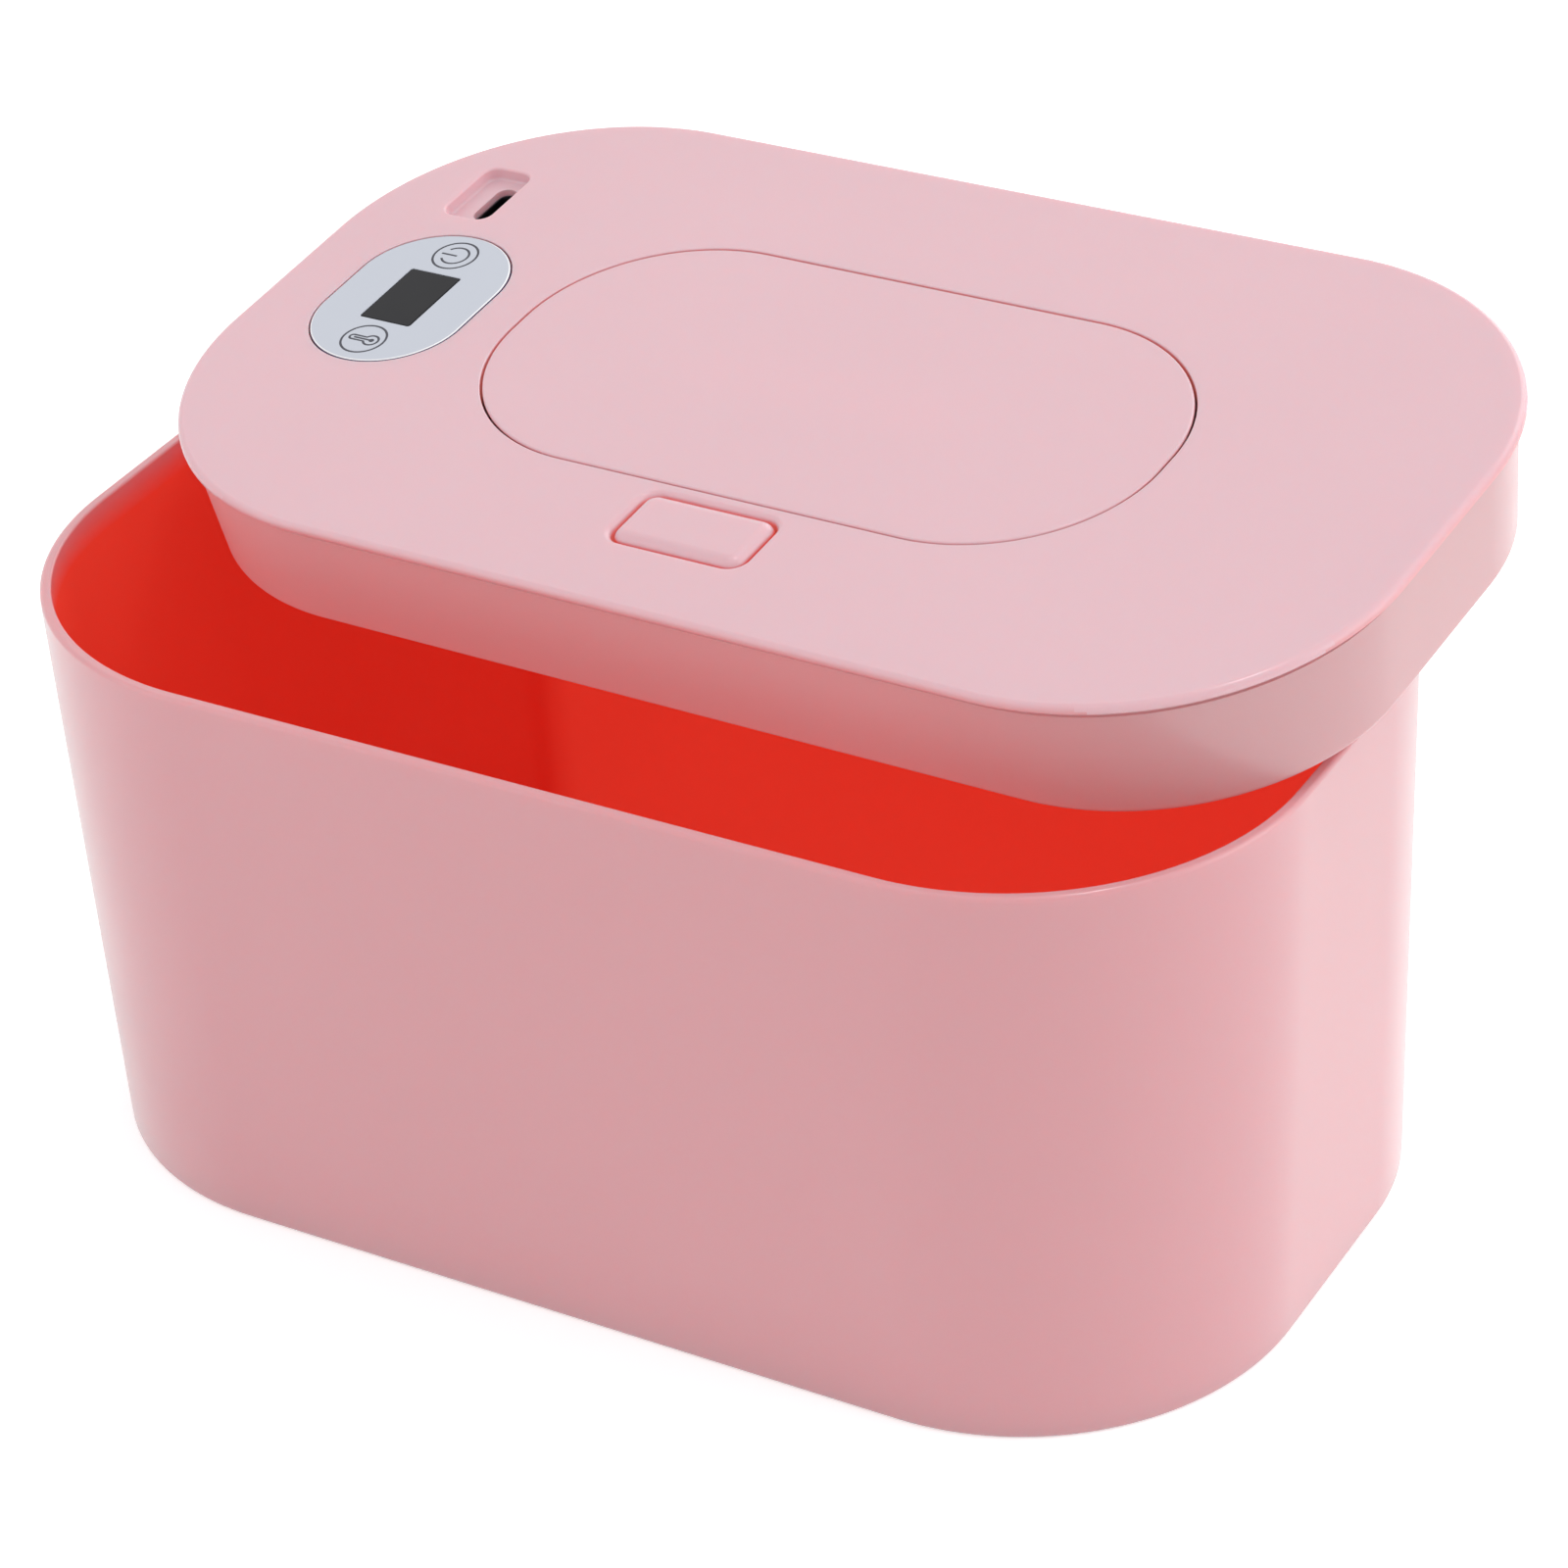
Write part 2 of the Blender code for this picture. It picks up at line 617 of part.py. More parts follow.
def bay(wall, top):
    """The room that the gooseneck arms hang in, with walls round it or as the cut itself."""
    size = (2 * (BAY_HALF + wall), BAY_BACK - BAY_FRONT + 2 * wall, 0)
    return block(size, BAY_FLOOR - wall, top, (0, (BAY_FRONT + BAY_BACK) / 2), 1)


def cover_hollows():
    """The well, the port recess, the panel recess and the screw holes, none touching another."""
    place = (PORT_X, PORT_Y)
    mouth = grown(PORT, 0)[:2] + (PORT_CORNER + PORT_SLOPE,)
    port = [
        ring(grown(mouth, -PORT_SLOPE), -PORT_DEPTH, SMALL_STEPS, place),
        ring(mouth, 0, SMALL_STEPS, place),
        ring(mouth, CUT_OVERRUN, SMALL_STEPS, place),
    ]
    panel_floor = -PANEL_THICK - PANEL_GAP
    hollows = [
        block(WELL, -WELL_DEPTH, CUT_OVERRUN, steps=CORNER_STEPS),
        (port, False),
        block(grown(PANEL, PANEL_GAP), panel_floor, CUT_OVERRUN, (PANEL_X, 0), CORNER_STEPS),
    ]
    screw_end = HEAD_BORE_DEPTH - LID_HEIGHT + SCREW_LENGTH + FIT_GAP
    for place in BOSS_PLACES:
        hollows.append(drum(SCREW_RADIUS + SCREW_PLAY, -LID_HEIGHT, screw_end, place))
    bore = BOARD_SCREW_RADIUS + SCREW_PLAY
    for place in BOARD_PLACES:
        hollows.append(drum(bore, BOARD_TOP - CUT_OVERRUN, BOARD_SCREW_TOP + FIT_GAP, place))
    return hollows


def cover_openings():
    """What is cut through the floors of the hollows: pocket, throat, inlet slot and display."""
    place = (0, BUTTON_Y)
    pocket = [ring(POCKET, -POCKET_DEPTH, SMALL_STEPS, place)]
    for step in range(EDGE_STEPS + 1):
        angle = step / EDGE_STEPS * math.pi / 2
        flared = grown(POCKET, POCKET_EDGE * (1 - math.cos(angle)))
        pocket.append(ring(flared, POCKET_EDGE * (math.sin(angle) - 1), SMALL_STEPS, place))
    pocket.append([point + Vector((0, 0, CUT_OVERRUN)) for point in pocket[-1]])
    port_floor = -PORT_DEPTH - PORT_WALL - CUT_OVERRUN
    ledge = grown(DISPLAY, -DISPLAY_LEDGE)
    return [
        (pocket, False),
        block(THROAT, -LID_HEIGHT, CUT_OVERRUN - WELL_DEPTH, steps=CORNER_STEPS),
        block(grown(INLET, INLET_GAP), port_floor, CUT_OVERRUN - PORT_DEPTH, SLOT_PLACE),
        block(ledge, -TOP_THICK - CUT_OVERRUN, CUT_OVERRUN - PANEL_THICK, (PANEL_X, 0), 1),
    ]


def cover_side_holes():
    """The window that the latch nose passes, and the bores for the ends of the hinge pin."""
    reach = FLIP_GAP + BUTTON_SPACING + POCKET[1] / 2
    window_y = -(FLIP_WIDTH + BUTTON_SPACING) / 2
    low = NOSE_BASE - FIT_GAP
    high = LATCH_TOP + FIT_GAP
    holes = [block((LATCH_WIDTH + 2 * FIT_GAP, reach, 0), low, high, (0, window_y), 1)]
    for side in (-1, 1):
        outer = side * (BAY_HALF + BAY_WALL + CUT_OVERRUN)
        inner = side * (BAY_HALF - CUT_OVERRUN)
        ends = sorted((outer, inner))
        holes.append(cross_rod(PIN_RADIUS + PIN_PLAY, *ends, HINGE_Y, -HINGE_DEPTH))
    return holes


# Lower housing, the tray that closes the lid from below
def make_lower_housing(lid):
    """The drafted tray, with a cup for each screw and the heater's window cut in its floor."""
    base_z = SKIRT_EDGE - LID_HEIGHT
    top_z = -LIP_THICK - FIT_GAP
    stations = list(reversed(quarter_round(skirt_size(base_z), base_z, SKIRT_EDGE, -1)))
    stations.append((skirt_size(top_z), top_z))
    stations += [(grown(skirt_size(z), -HOUSING_WALL), z) for z in (top_z, HOUSING_INSIDE)]
    rings = [ring(size, z) for size, z in stations]
    plastic = finish("housing plastic", (0.76, 0.42, 0.44), 0.34)
    tray = make_object("lower_housing", [(rings, False)], plastic)
    carry(tray, lid)
    cup_base = HOUSING_INSIDE - HOUSING_FLOOR / 2
    cup_top = CUP_HEIGHT - LID_HEIGHT
    cups = [drum(CUP_RADIUS, cup_base, cup_top, place) for place in BOSS_PLACES]
    combine(tray, make_object("housing_cups", cups), 'UNION')
    below = -LID_HEIGHT - CUT_OVERRUN
    seat = HEAD_BORE_DEPTH - LID_HEIGHT
    head = SCREW_HEAD_RADIUS + SCREW_PLAY
    shank = SCREW_RADIUS + SCREW_PLAY
    cuts = [block(WINDOW, below, HOUSING_INSIDE + CUT_OVERRUN, steps=CORNER_STEPS)]
    for place in BOSS_PLACES:
        steps = ((head, below), (head, seat), (shank, seat), (shank, cup_top + CUT_OVERRUN))
        cuts.append(([circle(radius, z, place) for radius, z in steps], False))
    combine(tray, make_object("housing_cuts", cuts), 'DIFFERENCE')


# Heater, from the metal plate up to the foam pad
def make_heater(lid):
    """The plate over the window, the film on it, the pad on the film, and the two safety parts."""
    plate = frame(HEATER, HEATER_HOLE, HEATER_BASE, HEATER_BASE + HEATER_THICK)
    metal = finish("heater aluminium", (0.72, 0.72, 0.73), 0.35, 1.0)
    carry(make_object("heating_plate", [plate], metal), lid)
    film = frame(FILM, HEATER_HOLE, FILM_BASE, FILM_BASE + FILM_THICK)
    carry(make_object("heating_film", [film], finish("heater film", (0.55, 0.25, 0.06), 0.45)), lid)
    pad = frame(PAD, HEATER_HOLE, PAD_BASE, PAD_BASE + PAD_THICK)
    carry(make_object("insulation_pad", [pad], finish("pad foam", (0.75, 0.75, 0.72), 0.95)), lid)
    bead = (SENSOR_WIDTH, SENSOR_LENGTH, SENSOR_WIDTH / 2)
    crown = SENSOR_WIDTH / 3
    stations = [(bead, PAD_BASE)] + quarter_round(bead, PAD_BASE + SENSOR_HEIGHT - crown, crown, 1)
    rings = [ring(size, z, SMALL_STEPS, (SENSOR_X, 0)) for size, z in stations]
    epoxy = finish("sensor bead", (0.05, 0.05, 0.05), 0.3)
    carry(make_object("temperature_sensor", [(rings, False)], epoxy), lid)
    fuse = cross_rod(FUSE_RADIUS, -FUSE_LENGTH / 2, FUSE_LENGTH / 2, -SENSOR_X, PAD_BASE + FUSE_RADIUS)
    case = finish("fuse case", (0.70, 0.66, 0.58), 0.4, 0.6)
    carry(make_object("thermal_fuse", [turned(fuse)], case), lid)
    make_lead(lid)


def make_lead(lid):
    """The lead from the film up to the control board, in one easy bend."""
    start = Vector((-SENSOR_X, FUSE_LENGTH / 2 + 4 * LEAD_RADIUS, PAD_BASE))
    rise = BOARD_UNDERSIDE - FIT_GAP - start.z
    points = []
    for step in range(ROUND_SIDES + 1):
        share = step / ROUND_SIDES
        bow = LEAD_BOW * math.sin(share * math.pi) ** 2
        points.append(start + Vector((bow, 0, rise * share)))
    sleeve = finish("lead sleeve", (0.6, 0.6, 0.6), 0.6)
    carry(make_wire("wiring_harness", points, LEAD_RADIUS, sleeve), lid)


# Control board and what stands on it
def make_board(lid):
    """The board under its posts, with its screws, the display block, the key springs and the inlet."""
    plate = block(BOARD, BOARD_UNDERSIDE, BOARD_TOP, (BOARD_X, BOARD_Y))
    board = make_object("control_board", [plate], finish("board laminate", (0.03, 0.20, 0.08), 0.5))
    carry(board, lid)
    low = BOARD_UNDERSIDE - CUT_OVERRUN
    high = BOARD_TOP + CUT_OVERRUN
    holes = [drum(BOARD_SCREW_RADIUS + SCREW_PLAY, low, high, place) for place in BOARD_PLACES]
    combine(board, make_object("board_holes", holes), 'DIFFERENCE')
    make_screws(lid, "board_screw", BOARD_PLACES, BOARD_UNDERSIDE - FIT_GAP,
                (BOARD_HEAD_RADIUS, BOARD_HEAD_THICK), (BOARD_SCREW_RADIUS, BOARD_SCREW_LENGTH))
    base = BOARD_TOP + FIT_GAP
    module = block(grown(DISPLAY, MODULE_MARGIN), base, base + MODULE_HEIGHT, (PANEL_X, 0), 2)
    carry(make_object("display_module", [module], finish("display block", (0.7, 0.7, 0.7), 0.5)), lid)
    low = base + KEY_WIRE_RADIUS
    high = -TOP_THICK - FIT_GAP - KEY_WIRE_RADIUS
    copper = finish("key spring copper", (0.85, 0.50, 0.30), 0.25, 1.0)
    for name, side in (("touch_spring_power", 1), ("touch_spring_temperature", -1)):
        points = coil(KEY_COIL_TURNS, KEY_COIL_RADIUS, KEY_COIL_TIP_RADIUS, low, high)
        place = Vector((PANEL_X, side * KEY_SPACING / 2, 0))
        carry(make_wire(name, [point + place for point in points], KEY_WIRE_RADIUS, copper), lid)
    make_inlet(lid, base)


def make_inlet(lid, base):
    """The charging receptacle that stands on the board and fills the slot of the port."""
    top = base + INLET_HEIGHT
    floor = top - INLET_CAVITY
    hollow = grown(INLET, -INLET_SHELL)
    tongue = (INLET_TONGUE, hollow[1] - 4 * INLET_SHELL, INLET_TONGUE / 3)
    stations = [(INLET, base), (INLET, top), (hollow, top), (hollow, floor)]
    stations += [(tongue, floor), (tongue, top - INLET_TONGUE)]
    rings = [ring(size, z, SMALL_STEPS, SLOT_PLACE) for size, z in stations]
    shell = finish("inlet shell", (0.10, 0.10, 0.11), 0.35, 0.8)
    carry(make_object("usb_receptacle", [(rings, False)], shell), lid)


def make_screws(lid, name, places, seat, head, shank):
    """Pan head screws that point up, their heads below the seat, one object each."""
    head_radius, head_thick = head
    shank_radius, length = shank
    profile = [
        (head_radius * HEAD_RIM_SHARE, seat - head_thick),
        (head_radius, seat - head_thick * HEAD_RIM_SHARE),
        (head_radius, seat),
        (shank_radius, seat),
        (shank_radius, seat + length - shank_radius),
        (shank_radius * HEAD_RIM_SHARE, seat + length),
    ]
    steel = finish(name + " steel", (0.62, 0.62, 0.64), 0.3, 1.0)
    for number, place in enumerate(places, 1):
        rings = [circle(radius, z, place) for radius, z in profile]
        carry(make_object(f"{name}_{number}", [(rings, False)], steel), lid)


# Panel on the lid's top
def make_panel(lid):
    """The panel film in its recess, with the display window let into it."""
    overlay = frame(PANEL, grown(DISPLAY, DISPLAY_GAP), -PANEL_THICK, 0, (PANEL_X, 0))
    carry(make_object("panel_overlay", [overlay], finish("overlay print", (0.57, 0.59, 0.67), 0.25)), lid)
    lens = block(DISPLAY, -PANEL_THICK, 0, (PANEL_X, 0), 2)
    carry(make_object("display_window", [lens], finish("window tint", (0.045, 0.045, 0.055), 0.15)), lid)


# Flip cover with its gooseneck arms, its hook and its seal
def arm_profile():
    """Side view of an arm about the hinge axis: a hub, a stem, and a neck round the well's back edge.

    The stem lies level under the top plate once the cover is fully open, so its two faces are laid
    out in that pose and turned back to the closed one.
    """
    def from_open(y, z):
        cos, sin = math.cos(OPEN_ANGLE), math.sin(OPEN_ANGLE)
        return y * cos - z * sin, y * sin + z * cos

    def on_arc(radius, start, end, steps):
        angles = [start + (end - start) * step / steps for step in range(steps + 1)]
        return [(radius * math.cos(angle), radius * math.sin(angle)) for angle in angles]

    stem_low = KNUCKLE_RADIUS - ARM_THICK
    hub_end = -math.pi - math.asin(stem_low / KNUCKLE_RADIUS)
    round_hub = on_arc(KNUCKLE_RADIUS, math.pi / 2, hub_end, 2 * ARM_STEPS)
    hub = [from_open(*point) for point in round_hub]
    foot = -ARM_INNER - ARM_FOOT
    sole = from_open(foot, stem_low)
    underside = HINGE_DEPTH - FLIP_THICK
    root = HINGE_DEPTH - FLIP_THICK / 2
    outer_start = math.pi - math.asin(foot / ARM_OUTER)
    outer = on_arc(ARM_OUTER, outer_start, math.pi - math.asin(underside / ARM_OUTER), ARM_STEPS)
    corner = math.asin(KNUCKLE_RADIUS / ARM_INNER)
    inner_end = math.pi - corner + OPEN_ANGLE
    inner = on_arc(ARM_INNER, math.pi - math.asin(underside / ARM_INNER), inner_end, ARM_STEPS)
    return hub + [sole] + outer + [(outer[-1][0], root), (inner[0][0], root)] + inner


def make_flip_cover(flip):
    """The drafted cover plate with its arms and its latch hook, and the seal ring under it."""
    stations = [(grown(FLIP, -FLIP_DRAFT), -FLIP_THICK)]
    stations += quarter_round(FLIP, -FLIP_EDGE, FLIP_EDGE, 1)
    rings = [ring(size, z) for size, z in stations]
    cover = make_object("flip_cover", [(rings, False)], finish("flip plastic", (0.81, 0.53, 0.57), 0.30))
    carry(cover, flip)
    profile = [(HINGE_Y + y, z - HINGE_DEPTH) for y, z in arm_profile()]
    added = [latch_hook()]
    for side in (-1, 1):
        middle = side * ARM_SPREAD / 2
        added.append(side_prism(profile, middle - ARM_WIDTH / 2, middle + ARM_WIDTH / 2))
    combine(cover, make_object("flip_arms_and_hook", added), 'UNION')
    bore = cross_rod(PIN_RADIUS + PIN_PLAY, -BAY_HALF, BAY_HALF, HINGE_Y, -HINGE_DEPTH)
    combine(cover, make_object("flip_pin_bore", [bore]), 'DIFFERENCE')
    ring_seal = frame(SEAL, grown(SEAL, -SEAL_WALL), FIT_GAP - WELL_DEPTH, -FLIP_THICK - FIT_GAP)
    silicone = finish("seal silicone", (0.85, 0.80, 0.80), 0.6)
    carry(make_object("flip_cover_seal", [ring_seal], silicone), flip)


def latch_hook():
    """The hook under the front of the flip cover that the latch nose holds."""
    front = HOOK_CLEARANCE + HOOK_LIP - FLIP_WIDTH / 2
    base = HOOK_FLOOR_GAP - WELL_DEPTH
    root = -FLIP_THICK / 2
    points = [
        (front + HOOK_THICK, root),
        (front + HOOK_THICK, base),
        (front - HOOK_LIP, base),
        (front - HOOK_LIP, base + HOOK_LIP_HEIGHT / 2),
        (front, base + HOOK_LIP_HEIGHT),
        (front, root),
    ]
    return side_prism(points, -HOOK_WIDTH / 2, HOOK_WIDTH / 2)


def make_hinge(lid):
    """The pin through both arms, and the spring round its middle that lifts the cover."""
    reach = BAY_HALF + PIN_SEAT
    pin = cross_rod(PIN_RADIUS, -reach, reach, HINGE_Y, -HINGE_DEPTH)
    carry(make_object("hinge_pin", [pin], finish("pin steel", (0.65, 0.65, 0.67), 0.25, 1.0)), lid)
    half = HINGE_COIL_TURNS * HINGE_COIL_PITCH / 2
    floor = BAY_FLOOR + FIT_GAP + HINGE_WIRE_RADIUS
    points = [Vector((-half, HINGE_Y + HINGE_COIL_RADIUS, floor))]
    for step in range(HINGE_COIL_TURNS * COIL_STEPS + COIL_STEPS // 4 + 1):
        angle = step / COIL_STEPS * 2 * math.pi
        x = -half + step / COIL_STEPS * HINGE_COIL_PITCH
        y = HINGE_Y + HINGE_COIL_RADIUS * math.cos(angle)
        points.append(Vector((x, y, HINGE_COIL_RADIUS * math.sin(angle) - HINGE_DEPTH)))
    tip = -FLIP_THICK - FIT_GAP - HINGE_WIRE_RADIUS
    points.append(Vector((points[-1].x, HINGE_Y - HINGE_LEG, tip)))
    wire = finish("hinge wire", (0.6, 0.6, 0.6), 0.3, 1.0)
    carry(make_wire("hinge_spring", points, HINGE_WIRE_RADIUS, wire), lid)


def make_gasket(lid):
    """The silicone gasket in the throat, whose slot holds the wipe."""
    low = FIT_GAP - WELL_DEPTH
    high = low + GASKET_FLANGE
    bottom = -WELL_DEPTH - GASKET_NECK
    neck = grown(THROAT, -FIT_GAP)
    stations = ((GASKET, low), (GASKET, high), (SLOT, high), (SLOT, bottom), (neck, bottom), (neck, low))
    rings = [ring(size, z) for size, z in stations]
    silicone = finish("gasket silicone", (0.85, 0.80, 0.80), 0.6)
    carry(make_object("outlet_gasket", [(rings, True)], silicone), lid)


# Release button, latch slider and their springs
def make_button(button):
    """The hollow button with a pillowed top, its two cams and its two spring cups."""
    bottom = -BUTTON_SKIRT
    centre = (0, BUTTON_Y)
    hollow = (BUTTON_LENGTH - 2 * BUTTON_WALL, BUTTON_WIDTH - 2 * BUTTON_WALL, BUTTON_CORNER / 2)
    stations = [(hollow, CROWN_UNDERSIDE), (hollow, bottom), (BUTTON, bottom)]
    stations += quarter_round(BUTTON, BUTTON_RISE - BUTTON_EDGE, BUTTON_EDGE, 1, 2 * EDGE_STEPS)
    rings = [ring(size, z, SMALL_STEPS, centre) for size, z in stations]
    plastic = finish("button plastic", (0.79, 0.55, 0.58), 0.28)
    cap = make_object("release_button", [(rings, False)], plastic)
    carry(cap, button)
    slope = LATCH_FACE_Y + LATCH_BASE + WING_HEIGHT + FIT_GAP * math.sqrt(2)
    back = BUTTON_Y + BUTTON_WIDTH / 2 - BUTTON_WALL / 2
    root = CROWN_UNDERSIDE + BUTTON_CROWN / 4
    cam = [(slope - root, root), (slope - bottom, bottom), (back, bottom), (back, root)]
    near = LATCH_WIDTH / 2 + FIT_GAP
    far = LATCH_WIDTH / 2 + WING_REACH
    added = [side_prism(cam, -far, -near), side_prism(cam, near, far)]
    bore = BUTTON_COIL_RADIUS + BUTTON_WIRE_RADIUS + FIT_GAP
    outer = bore + SPRING_CUP_WALL
    for side in (-1, 1):
        place = (side * BUTTON_SPRING_SPREAD / 2, BUTTON_Y)
        corners = ((bore, CROWN_UNDERSIDE), (bore, bottom), (outer, bottom), (outer, root), (bore, root))
        added.append(([circle(radius, z, place) for radius, z in corners], True))
    combine(cap, make_object("button_cams_and_cups", added), 'UNION')
    notch_top = LATCH_TOP + BUTTON_TRAVEL + FIT_GAP
    notch_size = (LATCH_WIDTH + 2 * FIT_GAP, BUTTON_WIDTH / 2, 0)
    notch = block(notch_size, bottom - CUT_OVERRUN, notch_top, (0, BUTTON_Y + BUTTON_WIDTH / 2), 1)
    combine(cap, make_object("button_notch", [notch]), 'DIFFERENCE')


def make_latch(latch):
    """The slider with its nose, its two ramped wings and the bore for its spring."""
    bar = [
        (LATCH_FACE_Y, LATCH_BASE),
        (LATCH_STEP_Y, LATCH_BASE),
        (LATCH_STEP_Y, NOSE_BASE),
        (NOSE_TIP_Y, NOSE_BASE),
        (NOSE_TIP_Y - LATCH_PROUD, LATCH_TOP),
        (LATCH_FACE_Y, LATCH_TOP),
    ]
    wing = [
        (LATCH_FACE_Y, LATCH_BASE),
        (LATCH_FACE_Y + WING_HEIGHT, LATCH_BASE),
        (LATCH_FACE_Y, LATCH_BASE + WING_HEIGHT),
    ]
    half = LATCH_WIDTH / 2
    plastic = finish("slider plastic", (0.85, 0.85, 0.83), 0.4)
    slider = make_object("latch_slider", [side_prism(bar, -half, half)], plastic)
    carry(slider, latch)
    wings = [
        side_prism(wing, -half - WING_REACH, WING_REACH - half),
        side_prism(wing, half - WING_REACH, half + WING_REACH),
    ]
    combine(slider, make_object("latch_wings", wings), 'UNION')
    bore_end = LATCH_STEP_Y - LATCH_BORE_WALL
    bore = cross_rod(LATCH_BORE_RADIUS, LATCH_FACE_Y - CUT_OVERRUN, bore_end, 0, LATCH_BORE_Z)
    combine(slider, make_object("latch_bore", [turned(bore)]), 'DIFFERENCE')
    return bore_end


def make_button_springs(lid, bore_end):
    """The two springs under the button and the one that drives the latch, at their pressed length."""
    low = FIT_GAP + BUTTON_WIRE_RADIUS - POCKET_DEPTH
    high = CROWN_UNDERSIDE - BUTTON_TRAVEL - FIT_GAP - BUTTON_WIRE_RADIUS
    metal = finish("button wire", (0.6, 0.6, 0.6), 0.3, 1.0)
    for name, side in (("button_spring_left", -1), ("button_spring_right", 1)):
        place = Vector((side * BUTTON_SPRING_SPREAD / 2, BUTTON_Y, 0))
        points = coil(BUTTON_COIL_TURNS, BUTTON_COIL_RADIUS, BUTTON_COIL_RADIUS, low, high)
        carry(make_wire(name, [point + place for point in points], BUTTON_WIRE_RADIUS, metal), lid)
    start = LATCH_FACE_Y - BUTTON_TRAVEL - 3 * SPRING_POST_THICK / 2 + FIT_GAP
    end = bore_end - BUTTON_TRAVEL - FIT_GAP
    points = coil(LATCH_COIL_TURNS, LATCH_COIL_RADIUS, LATCH_COIL_RADIUS, start, end)
    laid = [Vector((point.x, point.z, point.y + LATCH_BORE_Z)) for point in points]
    carry(make_wire("latch_spring", laid, LATCH_WIRE_RADIUS, metal), lid)


def build():
    """Make the tub, place the lid's frame and the axes in it, and hang every piece of the lid."""
    clear_scene()
    make_tub()
    lid = make_pivot("lid_frame")
    lid.matrix_world = lid_placement(resting_rise())
    flip = make_pivot("flip_axis", lid, (0, HINGE_Y, -HINGE_DEPTH))
    button = make_pivot("button_axis", lid, (0, BUTTON_Y, 0))
    latch = make_pivot("latch_axis", lid, (0, BUTTON_Y, LATCH_BORE_Z))
    make_top_cover(lid)
    make_lower_housing(lid)
    make_heater(lid)
    make_board(lid)
    make_screws(lid, "housing_screw", BOSS_PLACES, HEAD_BORE_DEPTH - LID_HEIGHT - FIT_GAP,
                (SCREW_HEAD_RADIUS, SCREW_HEAD_THICK), (SCREW_RADIUS, SCREW_LENGTH))
    make_panel(lid)
    make_flip_cover(flip)
    make_hinge(lid)
    make_gasket(lid)
    make_button(button)
    make_button_springs(lid, make_latch(latch))
    bpy.context.view_layer.update()


build()
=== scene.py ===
"""Looks of a baby wipe warmer whose heated lid stands askew on its tub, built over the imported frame."""
import json
import math

import bmesh
import bpy
from bpy.props import FloatProperty, FloatVectorProperty, IntProperty, PointerProperty
from mathutils import Matrix, Vector


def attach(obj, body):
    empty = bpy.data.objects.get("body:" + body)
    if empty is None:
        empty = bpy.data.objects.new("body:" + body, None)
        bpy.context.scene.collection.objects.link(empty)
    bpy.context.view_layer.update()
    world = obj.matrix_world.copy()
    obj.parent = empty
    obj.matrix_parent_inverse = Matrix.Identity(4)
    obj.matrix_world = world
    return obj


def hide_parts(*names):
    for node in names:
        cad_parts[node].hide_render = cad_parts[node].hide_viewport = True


bl_info = {
    "name": "Baby Wipe Warmer",
    "version": (1, 0, 0),
    "blender": (4, 5, 0),
    "location": "3D View > Sidebar > Wipe Warmer",
    "description": "Builds a wipe warmer with a heated lid, piece by piece",
    "category": "Add Mesh",
}

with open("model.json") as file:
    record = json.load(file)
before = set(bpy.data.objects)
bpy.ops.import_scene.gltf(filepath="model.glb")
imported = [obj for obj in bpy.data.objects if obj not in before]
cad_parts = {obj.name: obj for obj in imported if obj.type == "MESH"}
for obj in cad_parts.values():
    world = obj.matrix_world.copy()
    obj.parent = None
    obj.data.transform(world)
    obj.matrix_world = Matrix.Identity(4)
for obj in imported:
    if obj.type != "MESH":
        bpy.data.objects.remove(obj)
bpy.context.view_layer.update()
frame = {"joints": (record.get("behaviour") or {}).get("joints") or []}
JOINTS = {joint["name"]: joint for joint in frame["joints"]}

# Sizes shared with the solids, in metres
TUB_LENGTH = 0.2
TUB_WIDTH = 0.1145
TUB_HEIGHT = 0.092
TUB_CORNER = 0.0435
TUB_BASE_CORNER = 0.0417
TUB_WALL = 0.00175
TUB_FLOOR = 0.0022
TUB_END_DRAFT = 0.003
TUB_SIDE_DRAFT = 0.0005
TUB_BASE_EDGE = 0.001
TUB_INNER_EDGE = 0.004
RIM_OUTER_EDGE = 0.0007
RIM_INNER_EDGE = 0.0004
LID_HEIGHT = 0.0209
LIP_INSET = 0.0008
LIP_THICK = 0.0013
LIP_EDGE = 0.001
TOP_THICK = 0.002
SKIRT_CLEARANCE = 0.00025
SKIRT_END_DRAFT = 0.0015
SKIRT_SIDE_DRAFT = 0.0038
SKIRT_BASE_CORNER = 0.037
SKIRT_EDGE = 0.001
HOUSING_WALL = 0.0018
HOUSING_FLOOR = 0.0018
FIT_GAP = 0.0003
FLIP_GAP = 0.00035
FLIP_THICK = 0.002
FLIP_EDGE = 0.0004
FLIP_DRAFT = 0.0008
WELL_DEPTH = 0.008
WELL_WALL = 0.0015
WELL_FLOOR = 0.0016
SEAL_WALL = 0.0016
HINGE_SETBACK = 0.005
PIN_RADIUS = 0.00075
PIN_PLAY = 0.0001
PIN_SEAT = 0.001
KNUCKLE_RADIUS = 0.0015
ARM_SPREAD = 0.038
ARM_WIDTH = 0.005
ARM_THICK = 0.0016
ARM_FOOT = 0.0013
BAY_END_PLAY = 0.0008
BAY_WALL = 0.0014
OPEN_ANGLE = math.radians(95)
THROAT_WALL = 0.0015
THROAT_RECESS = 0.001
GASKET_FLANGE = 0.001
GASKET_NECK = 0.0015
BUTTON_SPACING = 0.0024
BUTTON_GAP = 0.00035
BUTTON_RISE = 0.0004
BUTTON_EDGE = 0.0015
BUTTON_WALL = 0.0012
BUTTON_CROWN = 0.002
BUTTON_SKIRT = 0.006
BUTTON_TRAVEL = 0.002
POCKET_EDGE = 0.001
POCKET_WALL = 0.0012
POCKET_FLOOR = 0.0015
BUTTON_SPRING_SPREAD = 0.0174
